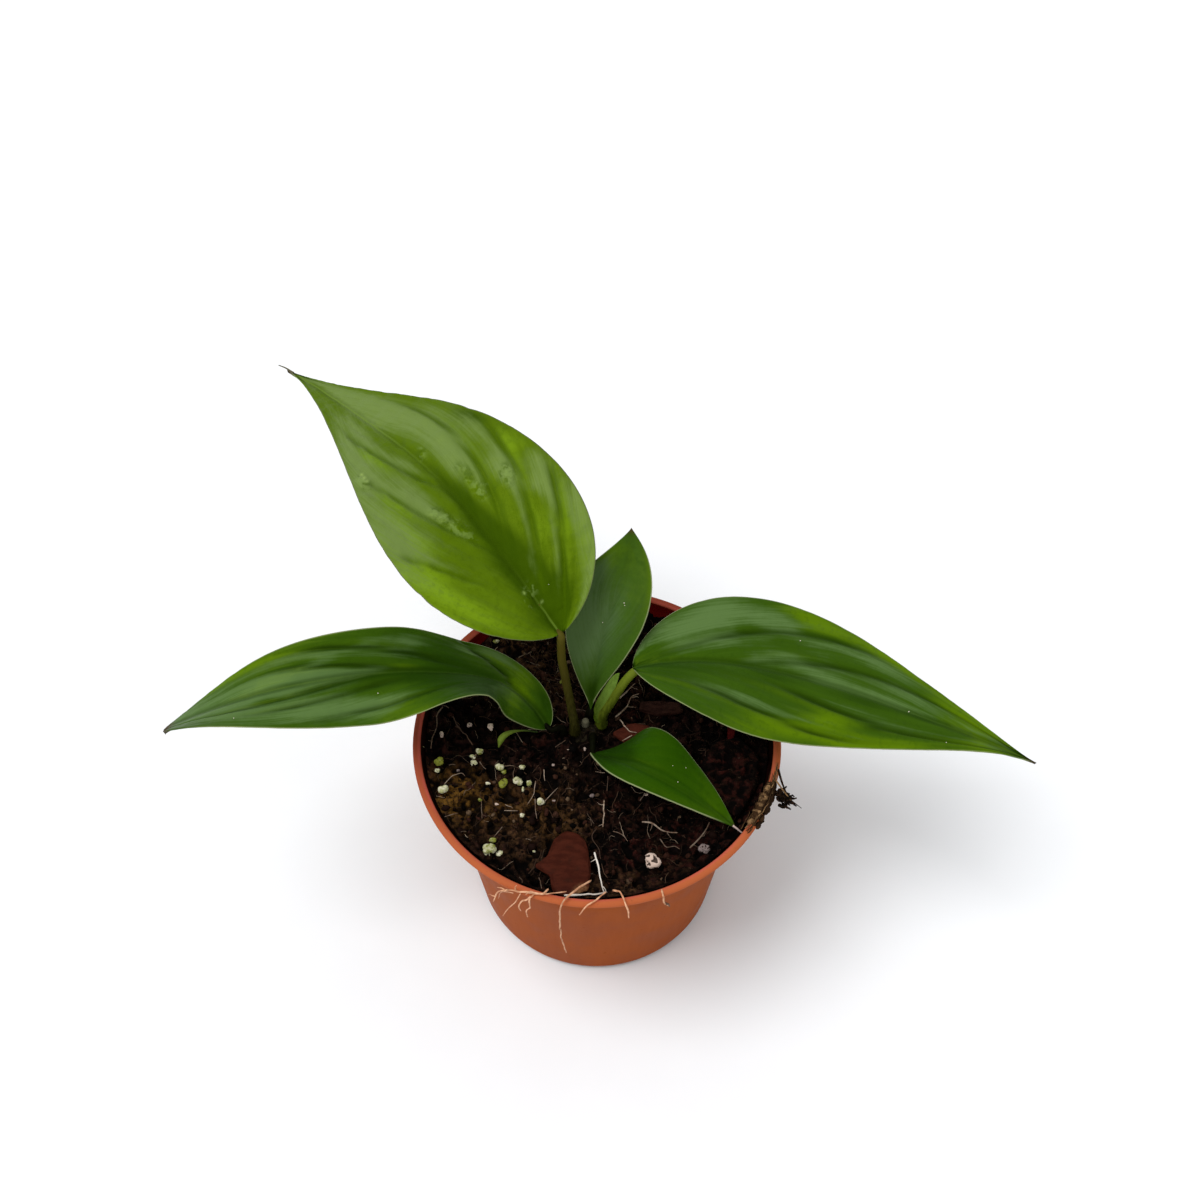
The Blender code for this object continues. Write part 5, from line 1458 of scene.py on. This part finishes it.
def make_roots():
    """The roots that stand for solids, and the finer rootlets that lie about them on the mix."""
    finish = root_finish()
    draw = np.random.default_rng(5)
    for k, ((radius, points), tone) in enumerate(zip(SOIL_ROOTS, SOIL_ROOT_TONES), 1):
        shape = root_shape(draw, laid(points, 40, radius), radius * 0.56, 2, 3.0, tone)
        add_piece(f"surface_root_{k}", shape, finish, "root", f"soil_root_{k}")
    for k, ((radius, points), tone) in enumerate(zip(RIM_ROOTS, RIM_ROOT_TONES), 1):
        shape = root_shape(draw, smooth_path(points, 64), radius * 0.6, 6 if k == 4 else 0, 3.0, tone)
        add_piece(f"hanging_root_{k}", shape, finish, "root", f"rim_root_{k}")
    fine = [root_shape(draw, laid(points, 24), thickness * 0.33, 0, 0.0, tone + 0.25)
            for thickness, tone, points in FINE_ROOTS]
    fine += [root_shape(draw, smooth_path(points, 30), thickness * 0.5, 0, 0.0, tone)
             for thickness, tone, points in HANGING_ROOTLETS]
    add_piece("fine_roots", joined(fine), finish, "root")


def clump_core():
    """A low lump of mix along the lip."""
    directions, faces = ball(30, 48)
    angle = math.radians(RIM_CLUMP_ANGLE)
    outward = np.array([math.cos(angle), math.sin(angle), 0.0])
    sideways = np.array([-outward[1], outward[0], 0.0])
    upward = np.array([0.0, 0.0, 1.0])
    middle = outward * (POT_RIM_RADIUS - 0.8) + upward * (POT_HEIGHT + 0.2)
    arms = directions * RIM_CLUMP_SIZE * (0.56 + 0.3 * rough(directions * 2.2, 1.0, 55, 4))[:, None]
    arms[:, 0] *= 0.62
    arms[:, 2] = np.clip(arms[:, 2], -0.8, 0.7)
    points = middle + arms @ np.stack([outward, sideways, upward])
    return Shape(points, faces, {"tone": np.full(len(points), 0.2)})


def clump_beads(draw):
    """Tan beads strung along the lip, and darker ones that hang under it."""
    count = RIM_CLUMP_BEADS
    turn = draw.uniform(-1, 1, count)
    bearing = np.radians(RIM_CLUMP_ANGLE - 1.3 + RIM_CLUMP_HALF * turn)
    swell = np.clip(1.1 - turn**2, 0.25, 1)
    off = draw.normal(0.0, 0.5, count) * swell
    height = POT_HEIGHT + 0.1 + draw.uniform(0.0, 1.3, count) * swell - 0.9 * np.abs(off) ** 1.5
    places = (*around(POT_RIM_RADIUS - 1.5 + off, bearing), height)
    beads = pebbles(draw, *places, draw.uniform(0.5, 1.35, count), 8, 12)
    shade = 0.72 - 0.3 * np.maximum(off, 0) - 0.2 * (off < -0.7) + draw.normal(0, 0.28, count)
    count = RIM_CLUMP_HUNG
    bearing = np.radians(RIM_CLUMP_ANGLE - 1.5 + 7.0 * draw.uniform(-1, 1, count))
    places = (*around(44.9, bearing), POT_HEIGHT - draw.uniform(0.2, 1.4, count))
    hung = pebbles(draw, *places, draw.uniform(0.7, 1.5, count), 8, 12)
    return [toned(beads, np.clip(shade, 0.05, 1)), toned(hung, draw.uniform(0.1, 0.5, count))]


def clump_fibres(draw):
    """Fibres that lie along the lip between the beads."""
    count, steps = RIM_CLUMP_FIBRES, HAIR_STEPS
    aim = np.radians(RIM_CLUMP_ANGLE + 10.0 * draw.uniform(-1, 1, (count, 1)) + np.linspace(-4, 4, steps))
    away = POT_RIM_RADIUS - 1.4 + draw.normal(0, 0.7, (count, 1))
    away = away + draw.normal(0, 0.14, (count, steps)).cumsum(axis=1)
    above = POT_HEIGHT + 0.7 + draw.uniform(0, 0.6, (count, 1)) - 0.6 * np.abs(away - 44.2) ** 1.4
    paths = np.stack([*around(away, aim), above], -1)
    thin = np.linspace(1, 0.5, steps) * draw.uniform(0.07, 0.15, (count, 1))
    return tubes(paths, thin, 5, draw.uniform(0.3, 1.0, count))


def clump_tuft(draw):
    """A tuft of black spikes that stands out over the lip."""
    count, steps = RIM_CLUMP_SPIKES, 6
    foot = TUFT_FOOT + draw.normal(0, 0.5, (count, 1, 3)) * (1, 1.5, 0.8)
    course = unit(TUFT_AIM + draw.normal(0, 0.5, (count, 1, 3)) * (0.6, 1.0, 0.5))
    paths = foot + course * draw.uniform(0.8, 3.2, (count, 1, 1)) * np.linspace(0, 1, steps)[:, None]
    paths += draw.normal(0, 0.12, (count, steps, 3))
    return tubes(paths, np.linspace(0.5, 0.16, steps) * np.ones((count, 1)), 6, np.zeros(count))


def make_rim_clump():
    draw = np.random.default_rng(17)
    parts = [clump_core(), *clump_beads(draw), clump_fibres(draw), clump_tuft(draw)]
    parts += [bar(smooth_path(points, 20), np.linspace(thick, thin, 20), 8, tone)
              for points, thick, thin, tone in RIM_CLUMP_STRIPS]
    ramp = ((0.0, 0.5, (0.04, 0.02, 0.0085)), (0.5, 1.0, (0.3, 0.175, 0.08)))
    flecks = (0.7, 4.0, 0.42, 0.62, 0.6, (0.034, 0.016, 0.0075))
    matted = toned_finish("matted_fibre", 0.03, (0.0018, 0.0012, 0.001), ramp, flecks, 0.75, 0.12, 0.8)
    add_piece("rim_clump_fibres", joined(parts), matted, "mix", "rim_root_clump")


def make_leaf_specks():
    """Grit caught on the leaves: tiny grains seated on the blades."""
    draw = np.random.default_rng(3)
    shapes = []
    for node, places in LEAF_GRIT.items():
        along, across = np.array(places).T
        points = blade_points(BLADES[node], along, across, np.full(len(along), SKIN / 2 + 0.25))
        sizes = draw.uniform(0.18, 0.32, len(along))
        shape = pebbles(draw, *points.T, sizes, 7, 10, 0.25)
        shape.marks = {"tone": np.zeros(len(shape.points)), "pore": np.zeros(len(shape.points))}
        shapes.append(shape)
    add_piece("leaf_grit", joined(shapes), bpy.data.materials["perlite"], "perlite")


# ---------------------------------------------------------------- stage


def make_stage():
    """A pale floor, a broad soft light from the left and an even sky."""
    data = bpy.data.meshes.new("floor")
    edge = FLOOR_HALF * MM
    corners = [(-edge, -edge, 0), (edge, -edge, 0), (edge, edge, 0), (-edge, edge, 0)]
    data.from_pydata(corners, [], [(0, 1, 2, 3)])
    data.materials.append(floor_finish())
    placed("floor", data)
    lamp = bpy.data.lights.new("key_light", "SUN")
    lamp.angle = math.radians(KEY_WIDTH)
    lamp.energy = KEY_POWER
    bearing, height = math.radians(KEY_BEARING), math.radians(KEY_HEIGHT)
    level = math.cos(height)
    towards = Vector((math.cos(bearing) * level, math.sin(bearing) * level, math.sin(height)))
    placed("key_light", lamp).matrix_world = towards.to_track_quat("Z", "Y").to_matrix().to_4x4()
    world = bpy.data.worlds.new("sky")
    world.use_nodes = True
    sky = world.node_tree.nodes["Background"]
    sky.inputs["Color"].default_value = (1.0, 1.0, 1.0, 1.0)
    sky.inputs["Strength"].default_value = SKY_STRENGTH
    bpy.context.scene.world = world
    bpy.context.scene.view_settings.view_transform = "Standard"


def make_camera():
    down, yaw, roll = (math.radians(turn) for turn in (CAMERA_DOWN, CAMERA_YAW, CAMERA_ROLL))
    ahead = Vector((math.sin(yaw) * math.cos(down), math.cos(yaw) * math.cos(down), -math.sin(down)))
    level = Vector((math.cos(yaw), -math.sin(yaw), 0))
    upright = level.cross(ahead)
    right = level * math.cos(roll) + upright * math.sin(roll)
    up = upright * math.cos(roll) - level * math.sin(roll)
    lens = bpy.data.cameras.new("camera")
    lens.lens = CAMERA_LENS
    lens.clip_start = 0.01
    camera = placed("camera", lens)
    turn = Matrix((right, up, -ahead)).transposed().to_4x4()
    camera.matrix_world = Matrix.Translation(Vector(CAMERA_PLACE) * MM) @ turn
    bpy.context.scene.camera = camera


make_camera()
make_pot()
make_mix()
make_crumbs()
make_hairs()
make_grains()
make_chips()
make_roots()
make_rim_clump()
make_leaves()
make_stalks()
make_young_growth()
make_leaf_specks()
make_stage()
